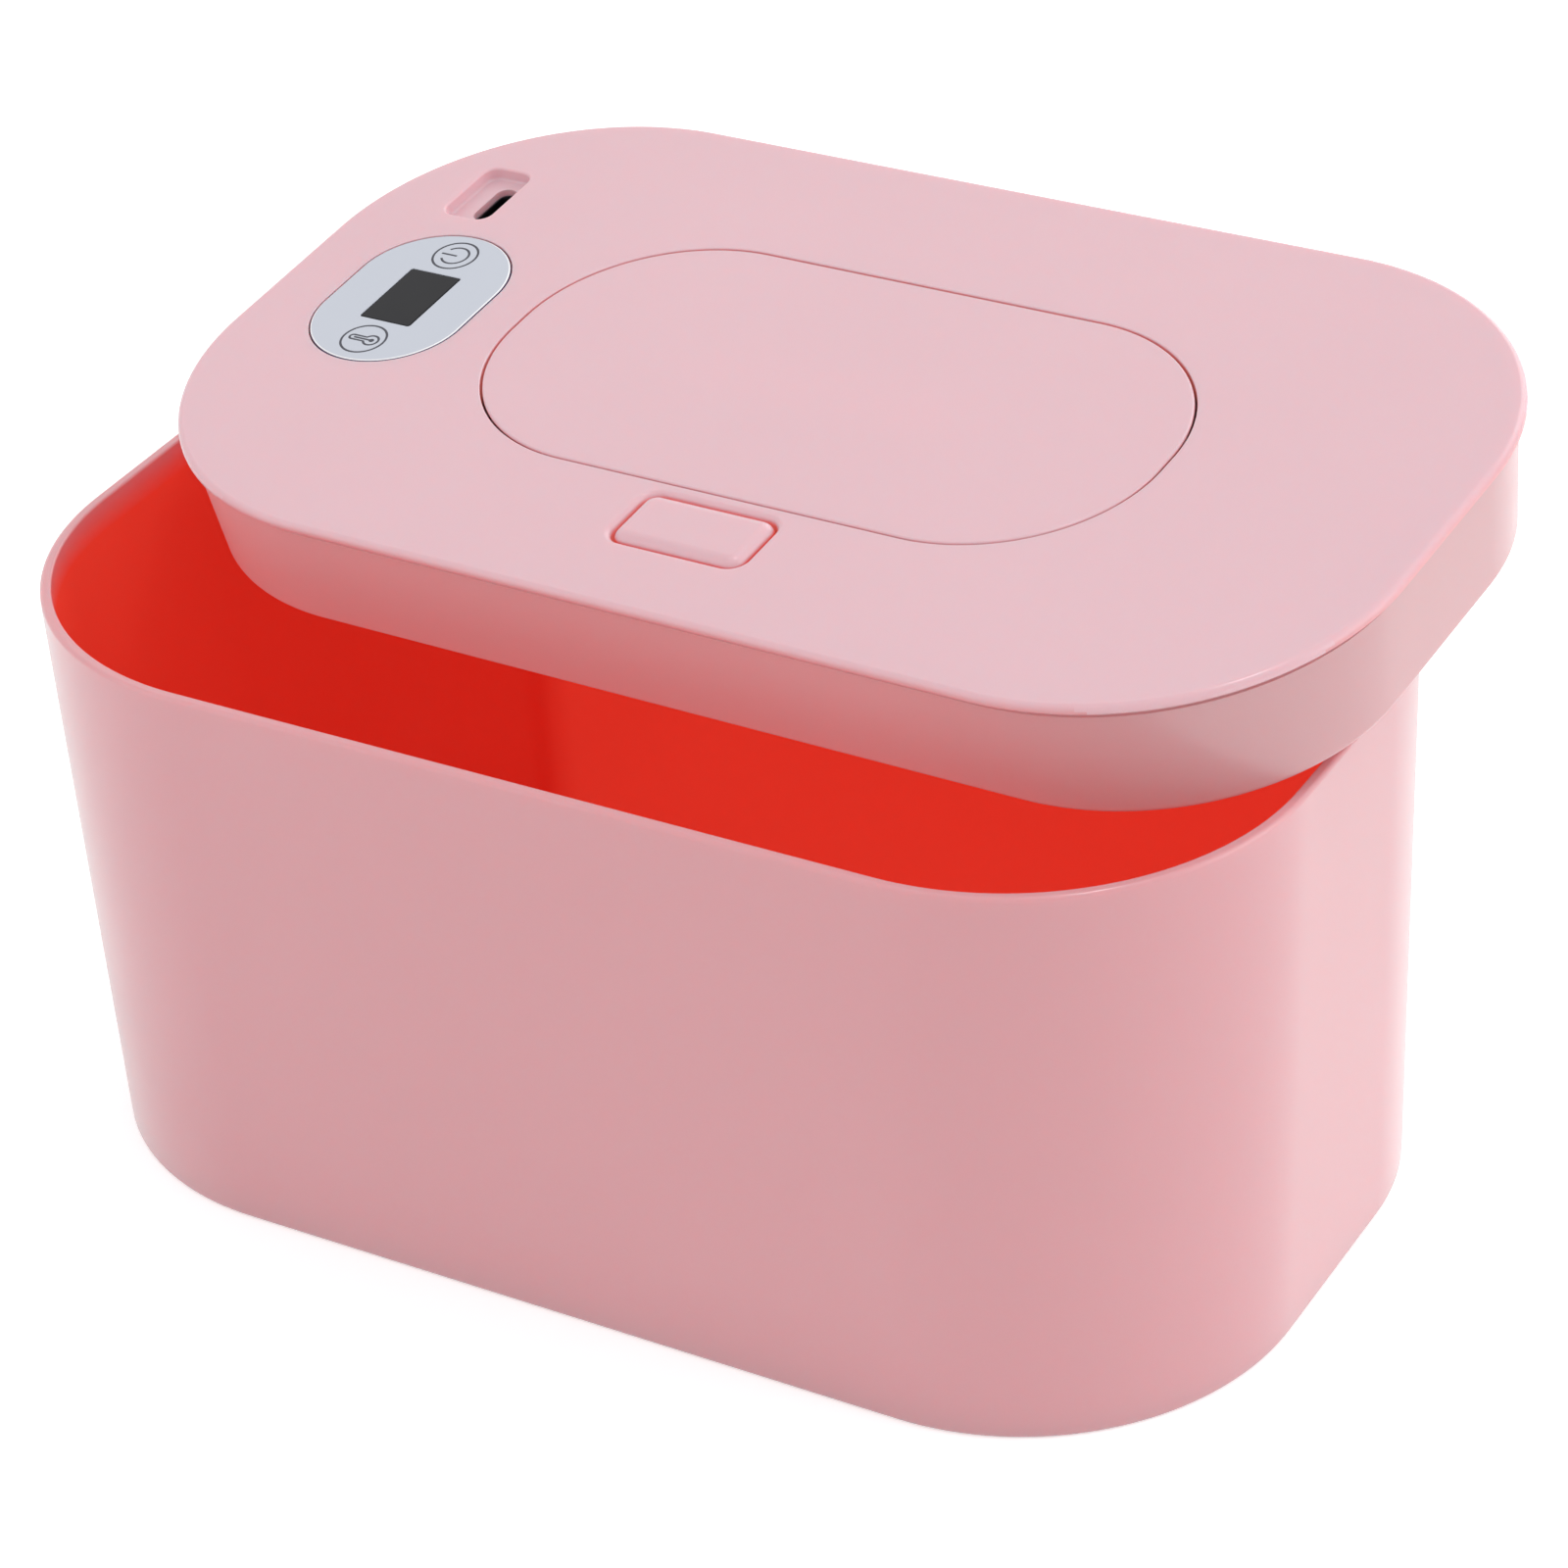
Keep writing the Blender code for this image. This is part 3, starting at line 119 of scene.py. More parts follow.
LATCH_WIDTH = 0.008
LATCH_HEIGHT = 0.003
LATCH_FRONT = 0.0004
LATCH_PROUD = 0.0005
NOSE_HEIGHT = 0.0013
WING_REACH = 0.0026
WING_HEIGHT = 0.0035
LATCH_BORE_WALL = 0.0005
SPRING_POST_THICK = 0.001
HOOK_WIDTH = 0.008
HOOK_THICK = 0.0017
HOOK_LIP = 0.0007
HOOK_LIP_HEIGHT = 0.0008
HOOK_CLEARANCE = 0.001
HOOK_FLOOR_GAP = 0.0006
PANEL_X = -0.0756
PANEL_THICK = 0.0008
PANEL_GAP = 0.0002
DISPLAY_LEDGE = 0.0007
DISPLAY_GAP = 0.0001
KEY_SPACING = 0.0243
PORT_PLACE = (-0.0815, 0.0291)
PORT_DEPTH = 0.0019
PORT_SLOPE = 0.0009
PORT_WALL = 0.0014
INLET_PLACE = (-0.0804, 0.0291)
INLET_HEIGHT = 0.0052
INLET_SHELL = 0.0003
INLET_GAP = 0.00015
INLET_TONGUE = 0.0007
INLET_CAVITY = 0.0046
BOARD_PLACE = (-0.073, 0.0065)
BOARD_THICK = 0.0016
BOARD_DEPTH = 0.0084
BOARD_POST_RADIUS = 0.0022
BOARD_SCREW_INSET = 0.003
BOARD_SCREW = (0.0016, 0.001, 0.0008, 0.005)
HEATER_LEDGE = 0.004
HEATER_THICK = 0.001
FILM_THICK = 0.0005
FILM_MARGIN = 0.003
PAD_THICK = 0.003
THROAT_PLAY = 0.0004
BOSS_RADIUS = 0.0032
CUP_RADIUS = 0.004
CUP_HEIGHT = 0.0044
HOUSING_SCREW = (0.0025, 0.0013, 0.0012, 0.0095)
SCREW_PLAY = 0.0002
HEAD_BORE_DEPTH = 0.0024
OVERRUN = 0.001

# Sizes and counts that only the scene has, in metres
WELD = 0.0000005
FINE = 0.0001
TUB_BANDS = 8
INNER_BANDS = 12
GROOVE = (-0.0028, -0.0023)
GROOVE_DEPTH = 0.00035
PORT_FLOOR_EDGE = 0.0005
RIB_WALL = 0.0013
RIB_DEPTH = 0.0036
ICON_RING = 0.00355
ICON_STROKE = 0.00019
ICON_X = PANEL_X - 0.0001
ICON_Y = 0.0121
BULB_OFFSET = 0.00135
BULB_RADIUS = 0.0012
SOLDER_GAP = 0.00002
LEAD_TWIST = 0.00045
KEY_WIRE = 0.00025
FINE_WIRE = 0.00015
HINGE_WIRE = 0.0002
# Where the painted light and shade change: along the tub (painted inner glow and painted shadow line) and the
# housing (painted glow and painted shade), and by depth in the lid's gaps (painted gap shade and glow)
PAINTED_GLOW_STEP = (-0.069, -0.064)
PAINTED_SHADOW_LINE = -0.0695
PAINTED_SHADOW_LINE_BLUR = (0.0006, 0.0022)
DIM_END = (0.04, 0.1)
PAINTED_SHADE_END = (0.05, 0.1)
EDGE_BAND = (-0.003, -0.003)
GAP_FLOOR = -0.006
GAP_ONSET = (0, 0.0004)
GAP_FADE = (0.0012, 0.003)
BUTTON_EDGE_DEPTH = 0.0006
FLIP_EDGE_DEPTH = 0.0001

# Light of the stage: an even light from all round, and soft lamps by place, size and power
AMBIENT = 0.71
LAMPS = (
    ("right_light", (1.5, 0.5, 0.8), 1.2, 8.0),
    ("left_front_light", (-1.2, -1.2, 0.9), 1.2, 3.9),
    ("back_light", (0.2, 1.6, 0.9), 1.2, 6.0),
    ("top_light", (0.25, 0.1, 1.3), 0.1, 1.6),
)
# The camera at the photograph's place, fitted to the tub's rim and base
EYE = (0.353, -0.55508, 0.47922)
AIM = (0.00473, 0.00735, 0.05574)
ROLL = math.radians(-4.08)
LENS = 121.79


def grown(size, by):
    """A rounded rectangle's length, width and corner with its outline moved out by an amount."""
    return size[0] + 2 * by, size[1] + 2 * by, max(size[2] + by, 0)


TUB = (TUB_LENGTH, TUB_WIDTH, TUB_CORNER)
LIP = grown(TUB, -LIP_INSET)
SKIRT = grown(TUB, -TUB_WALL - SKIRT_CLEARANCE)
WELL = (0.1111, 0.0572, 0.0268)
FLIP = grown(WELL, -FLIP_GAP)
SEAL = (0.084, 0.038, 0.019)
THROAT = (0.062, 0.024, 0.012)
GASKET = (0.072, 0.032, 0.016)
SLOT = (0.046, 0.009, 0.0045)
BUTTON = (0.022, 0.0116, 0.0024)
POCKET = grown(BUTTON, BUTTON_GAP)
PANEL = (0.0251, 0.0351, 0.01255)
DISPLAY = (0.0091, 0.0137, 0.0003)
PORT = (0.0093, 0.0148, 0.0018)
INLET = (0.00326, 0.00894, 0.00163)
BOARD = (0.023, 0.058, 0.003)
WINDOW = (0.142, 0.068, 0.02)
HEATER = grown(WINDOW, HEATER_LEDGE)
FILM = grown(HEATER, -FILM_MARGIN)
HEATER_HOLE = grown(THROAT, THROAT_WALL + THROAT_PLAY)
HINGE_Y = WELL[1] / 2 + HINGE_SETBACK
HINGE_DEPTH = TOP_THICK + FIT_GAP + KNUCKLE_RADIUS
ARM_INNER = math.hypot(HINGE_SETBACK, HINGE_DEPTH) + FIT_GAP
ARM_OUTER = ARM_INNER + ARM_THICK
BAY_HALF = (ARM_SPREAD + ARM_WIDTH) / 2 + BAY_END_PLAY
BAY_FRONT = HINGE_Y - ARM_OUTER - FIT_GAP
BAY_BACK = HINGE_Y + KNUCKLE_RADIUS + FIT_GAP
BAY_FLOOR = -HINGE_DEPTH - ARM_INNER - ARM_FOOT - FIT_GAP
BUTTON_Y = -(WELL[1] / 2 + BUTTON_SPACING + BUTTON[1] / 2)
POCKET_DEPTH = BUTTON_SKIRT + BUTTON_TRAVEL + FIT_GAP
CROWN_UNDERSIDE = BUTTON_RISE - BUTTON_CROWN
LATCH_BASE = FIT_GAP - POCKET_DEPTH
LATCH_TOP = LATCH_BASE + LATCH_HEIGHT
LATCH_FACE_Y = BUTTON_Y + LATCH_FRONT
LATCH_STEP_Y = BUTTON_Y + POCKET[1] / 2 - FIT_GAP
NOSE_TIP_Y = LATCH_PROUD - WELL[1] / 2
NOSE_BASE = LATCH_TOP - NOSE_HEIGHT
LATCH_BORE_Z = LATCH_BASE + LATCH_HEIGHT / 2
BOARD_TOP = -BOARD_DEPTH
BOARD_UNDERSIDE = BOARD_TOP - BOARD_THICK
HOUSING_INSIDE = HOUSING_FLOOR - LID_HEIGHT
HEATER_BASE = HOUSING_INSIDE + FIT_GAP
FILM_BASE = HEATER_BASE + HEATER_THICK + FIT_GAP
PAD_BASE = FILM_BASE + FILM_THICK + FIT_GAP
SENSOR_X = 0.0645
BOSS_PLACES = [(sx * 0.062, sy * 0.0446) for sx in (-1, 1) for sy in (-1, 1)]
BOSS_PLACES += [(-0.0896, 0), (0.0896, 0)]
BOARD_HOLE = (BOARD[0] / 2 - BOARD_SCREW_INSET, BOARD[1] / 2 - BOARD_SCREW_INSET)
BOARD_PLACES = [
    (BOARD_PLACE[0] + sx * BOARD_HOLE[0], BOARD_PLACE[1] + sy * BOARD_HOLE[1])
    for sx, sy in ((-1, -1), (1, -1), (1, 1))
]


def lid_frame():
    """The askew lid's own frame, its origin at the middle of its top face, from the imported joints."""
    x = -Vector(JOINTS["flip_cover_hinge"]["axis"]).normalized()
    z = -Vector(JOINTS["button_press"]["axis"]).normalized()
    y = z.cross(x).normalized()
    turn = Matrix((x, y, z)).transposed()
    origin = Vector(JOINTS["flip_cover_hinge"]["pos_m"]) - turn @ Vector((0, HINGE_Y, -HINGE_DEPTH))
    return Matrix.Translation(origin) @ turn.to_4x4()


LID = lid_frame()


def colour_setting(name, *default, description):
    """A colour setting."""
    return FloatVectorProperty(
        name=name, description=description, subtype='COLOR', default=default, min=0, max=1)


def share_setting(name, default, description):
    """A setting from 0 to 1."""
    return FloatProperty(name=name, description=description, default=default, min=0, max=1)


class WarmerLook(bpy.types.PropertyGroup):
    """Colours and facet counts of the warmer."""
    tub_pink: colour_setting("Tub pink", 0.7, 0.36, 0.39, description="Plastic of the tub")
    cover_pink: colour_setting(
        "Cover pink", 0.8, 0.505, 0.555, description="Plastic of the lid's top, flip cover and button")
    housing_pink: colour_setting(
        "Housing pink", 0.76, 0.42, 0.44, description="Plastic of the lid's lower housing")
    # Painted light: the tub's inner red stands for light that comes in through its thin pink walls
    inner_red: colour_setting("Inner painted red glow", 0.95, 0.1, 0.06, description="Inside of the tub below its rim")
    # Painted glow: the wall light is emission on the tub's inner faces, not a lamp
    glow_red: colour_setting(
        "Wall light red", 1.0, 0.15, 0.09,
        description="Colour of the light that comes in through the thin walls")
    wall_glow: share_setting("Wall light", 0.13, "Strength of the light that comes in through the thin walls")
    # Painted light: the edge red stands for light through the lid's thin outer edge
    edge_pink: colour_setting(
        "Painted edge red", 0.8, 0.34, 0.36, description="The lid's outer edge, where the plastic is seen side on")
    # Painted shade and glow: the gap colour darkens the plastic inside narrow gaps, and the gap light is
    # emission there
    gap_red: colour_setting("Painted gap shade", 0.5, 0.04, 0.05, description="Painted shade and red inside a narrow gap")
    gap_glow: share_setting(
        "Gap light", 0.26, "Strength of the light that comes through the plastic beside a gap")
    # Painted glow: the housing light is emission on the housing's skirt, not a lamp
    housing_glow: share_setting(
        "Housing light", 0.09, "Strength of the light that comes through the housing's thin skirt")
    panel_grey: colour_setting("Panel grey blue", 0.58, 0.61, 0.685, description="Print of the control panel")
    corner_steps: IntProperty(
        name="Corner steps", description="Facets in each large rounded corner", default=40, min=4, max=96)
    edge_steps: IntProperty(
        name="Edge steps", description="Facets in each small rounded edge", default=7, min=2, max=16)
    rim_fade: FloatProperty(
        name="Rim fade", description="Height over which the inner red turns pink towards the rim",
        subtype='DISTANCE', unit='LENGTH', default=0.005, min=0.001, max=0.05)


def look():
    """The settings kept with the scene."""
    return bpy.context.scene.warmer_look


# Outlines and lofts
def ring(size, z, steps=None, centre=(0, 0)):
    """A rounded rectangle as a level ring of points, counter-clockwise seen from above."""
    length, width, corner = size
    radius = min(corner, length / 2, width / 2)
    steps = steps or look().corner_steps
    points = []
    for quarter, (sx, sy) in enumerate(((1, 1), (-1, 1), (-1, -1), (1, -1))):
        for step in range(steps + 1):
            angle = (quarter + step / steps) * math.pi / 2
            x = centre[0] + sx * (length / 2 - radius) + radius * math.cos(angle)
            y = centre[1] + sy * (width / 2 - radius) + radius * math.sin(angle)
            points.append(Vector((x, y, z)))
    return points


def loft(stations, steps=None, centre=(0, 0), closed=False):
    """A loft through rings of a run of sizes and heights."""
    return [ring(size, z, steps, centre) for size, z in stations], closed


def quarter_turn():
    """The cosine and sine of each step round a small edge."""
    steps = look().edge_steps
    angles = [step / steps * math.pi / 2 for step in range(steps + 1)]
    return [(math.cos(angle), math.sin(angle)) for angle in angles]


def round_over(size, z, radius, rise):
    """Sizes and heights that turn from an upright side at z to a level face, up for rise 1."""
    return [(grown(size, radius * (cos - 1)), z + rise * radius * sin) for cos, sin in quarter_turn()]


def flared(size, z, radius):
    """Sizes and heights of a hole's mouth that rounds outwards up to the face at z."""
    return [(grown(size, radius * (1 - cos)), z + radius * (sin - 1)) for cos, sin in quarter_turn()]


def hollow(size, low, z, radius, steps=None, centre=(0, 0)):
    """A tool for a recess from low up to the face at z, with a rounded mouth, as a loft."""
    mouth = flared(size, z, radius)
    return loft([(size, low)] + mouth + [(mouth[-1][0], z + OVERRUN)], steps, centre)


def bevelled(size, low, high, edge):
    """Sizes and heights of a plate with its edges broken, or of a hole in it for a minus edge."""
    return [(grown(size, -edge), low), (size, low + edge), (size, high - edge), (grown(size, -edge), high)]


def on_circle(radius, centre, sides):
    """Points on a circle, each as a pair."""
    angles = [side / sides * 2 * math.pi for side in range(sides)]
    return [(centre[0] + radius * math.cos(angle), centre[1] + radius * math.sin(angle)) for angle in angles]


def lathe(profile, centre=(0, 0), sides=40):
    """A turned solid from radii and heights, as a loft."""
    return [[Vector((x, y, z)) for x, y in on_circle(radius, centre, sides)] for radius, z in profile], False


def posts(radius, low, high, places, sides=40):
    """Upright cylinders of one size at several places, as lofts."""
    return [lathe(((radius, low), (radius, high)), place, sides) for place in places]


def pin_shape(radius, half, edge):
    """A pin about the middle of its length with bevelled ends, as a loft."""
    return lathe(((radius - edge, -half), (radius, edge - half), (radius, half - edge), (radius - edge, half)))


def prism(size, low, high, centre=(0, 0), steps=6):
    """An upright prism with rounded corners, as a loft."""
    return loft(((size, low), (size, high)), steps, centre)


def side_prism(points, left, right):
    """A side view of (y, z) points drawn out along X, as a loft."""
    return [[Vector((x, y, z)) for y, z in points] for x in (left, right)], False


def rod(radius, left, right):
    """A rod along X on the hinge's axis, as a loft."""
    return side_prism(on_circle(radius, (HINGE_Y, -HINGE_DEPTH), 32), left, right)


def add_loft(mesh, loops, closed):
    """Skin a run of equal rings, with a face over each end, or closed round into a hollow frame."""
    made = [[mesh.verts.new(point) for point in points] for points in loops]
    pairs = list(zip(made, made[1:]))
    if closed:
        pairs.append((made[-1], made[0]))
    count = len(made[0])
    for first, second in pairs:
        for i in range(count):
            j = (i + 1) % count
            mesh.faces.new((first[i], first[j], second[j], second[i]))
    if not closed:
        mesh.faces.new(list(reversed(made[0])))
        mesh.faces.new(made[-1])


# Objects
def placed(name, data):
    """A new object of the scene for some data."""
    item = bpy.data.objects.new(name, data)
    bpy.context.scene.collection.objects.link(item)
    return item


def solid(name, *lofts):
    """An object of one or more lofts with its faces pointing out."""
    mesh = bmesh.new()
    for loops, closed in lofts:
        add_loft(mesh, loops, closed)
    bmesh.ops.remove_doubles(mesh, verts=mesh.verts[:], dist=WELD)
    bmesh.ops.recalc_face_normals(mesh, faces=mesh.faces[:])
    data = bpy.data.meshes.new(name)
    mesh.to_mesh(data)
    mesh.free()
    return placed(name, data)


def baked(item):
    """Turn the object's evaluated shape into its plain mesh and drop its modifiers."""
    bpy.context.view_layer.update()
    depsgraph = bpy.context.evaluated_depsgraph_get()
    data = bpy.data.meshes.new_from_object(item.evaluated_get(depsgraph), depsgraph=depsgraph)
    item.modifiers.clear()
    old = item.data
    item.data = data
    data.name = item.name
    bpy.data.meshes.remove(old)
    return item


def used_up(item):
    """Remove an object with its mesh."""
    spent = item.data
    bpy.data.objects.remove(item)
    bpy.data.meshes.remove(spent)


def combined(target, tool, operation):
    """Join or cut the target with a tool, which is used up."""
    modifier = target.modifiers.new(operation, 'BOOLEAN')
    modifier.operation = operation
    modifier.solver = 'EXACT'
    modifier.object = tool
    baked(target)
    used_up(tool)


def join(item, *lofts):
    """Join lofts to a piece."""
    combined(item, solid("added", *lofts), 'UNION')


def cut(item, *lofts):
    """Cut lofts out of a piece."""
    combined(item, solid("cutter", *lofts), 'DIFFERENCE')


def dressed(item, material, slot, *nodes, body="lid", place=LID, angle=30):
    """Set a made piece in its place, shade it, give it its material and hand it to the frame."""
    item.data.transform(place)
    item.data.materials.clear()
    item.data.materials.append(material)
    item.data.shade_smooth()
    item.data.set_sharp_from_angle(angle=math.radians(angle))
    modifier = item.modifiers.new("weighted_normals", 'WEIGHTED_NORMAL')
    modifier.keep_sharp = True
    baked(item)
    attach(item, body)
    if nodes:
        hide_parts(*nodes)


# Nodes of both kinds of tree
def give(tree, socket, value):
    """Link an output to a socket, or set the socket's own value."""
    if isinstance(value, bpy.types.NodeSocket):
        tree.links.new(value, socket)
    elif socket.type == 'RGBA':
        socket.default_value = (*value, 1)
    else:
        socket.default_value = value


def add_node(tree, kind, links=None, **settings):
    """Add a node to a tree, set its properties, then link or set its inputs by name or number."""
    node = tree.nodes.new(kind)
    for key, value in settings.items():
        setattr(node, key, value)
    for key, value in (links or {}).items():
        give(tree, node.inputs[key], value)
    return node.outputs


# Geometry Nodes trees
def geometry_tree(name, inputs):
    """A new Geometry Nodes tree, and its geometry and named inputs."""
    tree = bpy.data.node_groups.new(name, 'GeometryNodeTree')
    for way in ('INPUT', 'OUTPUT'):
        tree.interface.new_socket(name="Geometry", in_out=way, socket_type='NodeSocketGeometry')
    for label, kind, default in (*inputs, ("Material", "Material", None)):
        socket = tree.interface.new_socket(name=label, in_out='INPUT', socket_type="NodeSocket" + kind)
        if default is not None:
            socket.default_value = default
    return tree, tree.nodes.new("NodeGroupInput").outputs


def tree_end(tree, geometry, material):
    """Make instances real, set the material and end the tree."""
    real = add_node(tree, "GeometryNodeRealizeInstances", {"Geometry": geometry})[0]
    finished = add_node(tree, "GeometryNodeSetMaterial", {"Geometry": real, "Material": material})[0]
    add_node(tree, "NodeGroupOutput", {0: finished})
    return tree


def tube(tree, line, sides, radius):
    """A capped tube along a curve."""
    wire = add_node(tree, "GeometryNodeCurvePrimitiveCircle", {"Resolution": sides, "Radius": radius})[0]
    links = {"Curve": line, "Profile Curve": wire, "Fill Caps": True}
    return add_node(tree, "GeometryNodeCurveToMesh", links)[0]


def coil_tree(name):
    """A coil spring from its turns, radii, height and wire."""
    tree, given = geometry_tree(name, (
        ("Turns", "Float", 4.0), ("Foot Radius", "Float", 0.001), ("Top Radius", "Float", 0.001),
        ("Height", "Float", 0.004), ("Wire Radius", "Float", 0.00015)))
    spiral = add_node(tree, "GeometryNodeCurveSpiral", {
        "Resolution": 36, "Rotations": given["Turns"], "Start Radius": given["Foot Radius"],
        "End Radius": given["Top Radius"], "Height": given["Height"]})[0]
    return tree_end(tree, tube(tree, spiral, 10, given["Wire Radius"]), given["Material"])


def path_tree(name):
    """A wire, stroke or strip that follows the edges given to it, pressed flat by its last scale."""
    tree, given = geometry_tree(name, (
        ("Radius", "Float", 0.0002), ("Sides", "Int", 10), ("Scale", "Vector", (1, 1, 1))))
    line = add_node(tree, "GeometryNodeMeshToCurve", {"Mesh": given["Geometry"]})[0]
    links = {"Geometry": tube(tree, line, given["Sides"], given["Radius"]), "Scale": given["Scale"]}
    return tree_end(tree, add_node(tree, "GeometryNodeTransform", links)[0], given["Material"])


def copies_tree(name):
    """Copies of a model at the given points, each turned by its own seeded angle."""
    tree, given = geometry_tree(name, (("Model", "Object", None), ("Turn", "Float", 0.0), ("Seed", "Int", 3)))
    model = add_node(tree, "GeometryNodeObjectInfo", {"Object": given["Model"]})["Geometry"]
    links = {3: given["Turn"], "Seed": given["Seed"]}
    chance = add_node(tree, "FunctionNodeRandomValue", links, data_type='FLOAT')
    turn = add_node(tree, "ShaderNodeCombineXYZ", {"Z": chance[1]})[0]
    copies = add_node(tree, "GeometryNodeInstanceOnPoints", {
        "Points": given["Geometry"], "Instance": model, "Rotation": turn})[0]
    return tree_end(tree, copies, given["Material"])


def grown_by_tree(item, make, name, **values):
    """Run a tree, made at its first use, on an object, and keep the plain mesh that it makes."""
    tree = bpy.data.node_groups.get(name) or make(name)
    modifier = item.modifiers.new(name, 'NODES')
    modifier.node_group = tree
    for socket in tree.interface.items_tree:
        key = socket.name.lower().replace(" ", "_")
        if socket.in_out == 'INPUT' and key in values:
            modifier[socket.identifier] = values[key]
    return baked(item)


def points_object(name, points, edges=()):
    """An object of bare points, or of points joined by edges."""
    data = bpy.data.meshes.new(name)
    data.from_pydata([tuple(point) for point in points], edges, ())
    return placed(name, data)


def stroked(name, lines, radius, material, sides=10, scale=(1, 1, 1)):
    """An object of wires along open or closed runs of points; a closed run ends on its first point."""
    points, edges = [], []
    for line in lines:
        start = len(points)
        closed = line[0] == line[-1] and len(line) > 2
        run = line[:-1] if closed else line
        points += run
        edges += [(start + i, start + i + 1) for i in range(len(run) - 1)]
        if closed:
            edges.append((len(points) - 1, start))
    return grown_by_tree(points_object(name, points, edges), path_tree, "wire along a path",
                         radius=radius, sides=sides, scale=scale, material=material)


def copied(name, model, places, material, turn=0.0):
    """An object of copies of a model at several places; the model is used up."""
    item = points_object(name, places)
    grown_by_tree(item, copies_tree, "copies at points", model=model, turn=turn, material=material)
    used_up(model)
    return item


# Materials
class Nodes:
    """A material's node tree with short calls to add and link nodes."""

    def __init__(self, name):
        self.material = bpy.data.materials.new(name)
        self.material.use_nodes = True
        self.tree = self.material.node_tree
        self.shader = self.tree.nodes["Principled BSDF"]
        self.coordinates = self.add("ShaderNodeTexCoord")["Object"]

    def add(self, kind, links=None, **settings):
        """Add a node and give its outputs."""
        return add_node(self.tree, kind, links, **settings)

    def set(self, **values):
        """Set the shader's sockets by name, with spaces written as underscores."""
        for key, value in values.items():
            give(self.tree, self.shader.inputs[key.replace("_", " ")], value)

    def base(self):
        """The colour that the shader has so far."""
        return self.shader.inputs["Base Color"].links[0].from_socket

    def axes(self):
        """The object's own coordinates, one by one."""
        return self.add("ShaderNodeSeparateXYZ", {"Vector": self.coordinates})

    def attribute(self, name):
        """A number kept on the mesh."""
        return self.add("ShaderNodeAttribute", attribute_name=name)["Fac"]

    def sum(self, operation, *values):
        """The result of a mathematical operation on one or two values."""
        return self.add("ShaderNodeMath", dict(enumerate(values)), operation=operation)[0]

    def times(self, first, second):
        """The product of two values."""
        return self.sum('MULTIPLY', first, second)

    def noise(self, scale, detail=2.0, roughness=0.5):
        """Noise on the object's own coordinates, from 0 to 1."""
        links = {"Vector": self.coordinates, "Scale": scale, "Detail": detail, "Roughness": roughness}
        return self.add("ShaderNodeTexNoise", links)["Fac"]

    def ranged(self, value, low, high, to_low, to_high):
        """A value mapped from one range to another and kept inside it."""
        links = {"Value": value, "From Min": low, "From Max": high, "To Min": to_low, "To Max": to_high}
        return self.add("ShaderNodeMapRange", links)["Result"]

    def uneven(self, low, high, *grain):
        """A value that wanders between two with the noise."""
        return self.ranged(self.noise(*grain), 0.3, 0.7, low, high)

    def mixed(self, factor, first, second):
        """A colour between two."""
        return self.add("ShaderNodeMix", {0: factor, 6: first, 7: second}, data_type='RGBA')[2]

    def raised(self, height, strength, distance):
        """A bump from a height."""
        links = {"Height": height, "Strength": strength, "Distance": distance}
        return self.add("ShaderNodeBump", links)["Normal"]


def scaled(colour, by):
    """A colour made deeper or paler."""
    return [min(1, value * by) for value in colour]


def moulded(name, colour, thin):
    """Moulded plastic: a soft change of tone and gloss, and a fine grain.

    Where the plastic is thin it lets red light through, by its thin weight.
    """
    nodes = Nodes(name)
    nodes.set(Base_Color=nodes.mixed(nodes.uneven(0, 1, 9, 3), scaled(colour, 0.985), scaled(colour, 1.015)))
    nodes.set(Roughness=nodes.uneven(0.21, 0.25, 60, 4, 0.6))
    nodes.set(Normal=nodes.raised(nodes.noise(1400), 0.03, 0.0002))
    nodes.set(IOR=1.5, Subsurface_Weight=thin, Subsurface_Radius=(1.0, 0.22, 0.18), Subsurface_Scale=0.004)
    nodes.set(Sheen_Weight=0.1, Sheen_Roughness=0.35)
    return nodes


def tub_plastic():
    """The tub's plastic: pink outside and over the rim, and painted red on every inner face.

    The inner red is painted light, for light coming in through the thin walls. Its painted glow is weaker
    at the left end, as painted shade, and has a darker upright line there, a painted shadow.
    """
    settings = look()
    nodes = moulded("tub plastic", settings.tub_pink, 0.7)
    inner = nodes.attribute("inner_face")
    place = nodes.axes()
    fade = nodes.ranged(place["Z"], TUB_HEIGHT - settings.rim_fade, TUB_HEIGHT, 1.0, 0.0)
    amount = nodes.times(inner, fade)
    # Painted red glow on the inner faces, fading to pink towards the rim
    nodes.set(Base_Color=nodes.mixed(amount, nodes.base(), settings.inner_red))
    # Painted glow as emission, weaker at the left end as painted shade, with a darker upright line as a painted
    # shadow
    brighter = nodes.ranged(place["X"], *PAINTED_GLOW_STEP, 0.4, 1.0)
    from_line = nodes.sum('ABSOLUTE', nodes.sum('SUBTRACT', place["X"], PAINTED_SHADOW_LINE))
    glow = nodes.times(brighter, nodes.ranged(from_line, *PAINTED_SHADOW_LINE_BLUR, 0.7, 1.0))
    glow = nodes.times(amount, nodes.times(glow, settings.wall_glow))
    nodes.set(Emission_Color=settings.glow_red, Emission_Strength=glow)
    nodes.set(IOR=1.62, Sheen_Weight=nodes.ranged(inner, 0.0, 1.0, 0.65, 0.0))
    return nodes.material


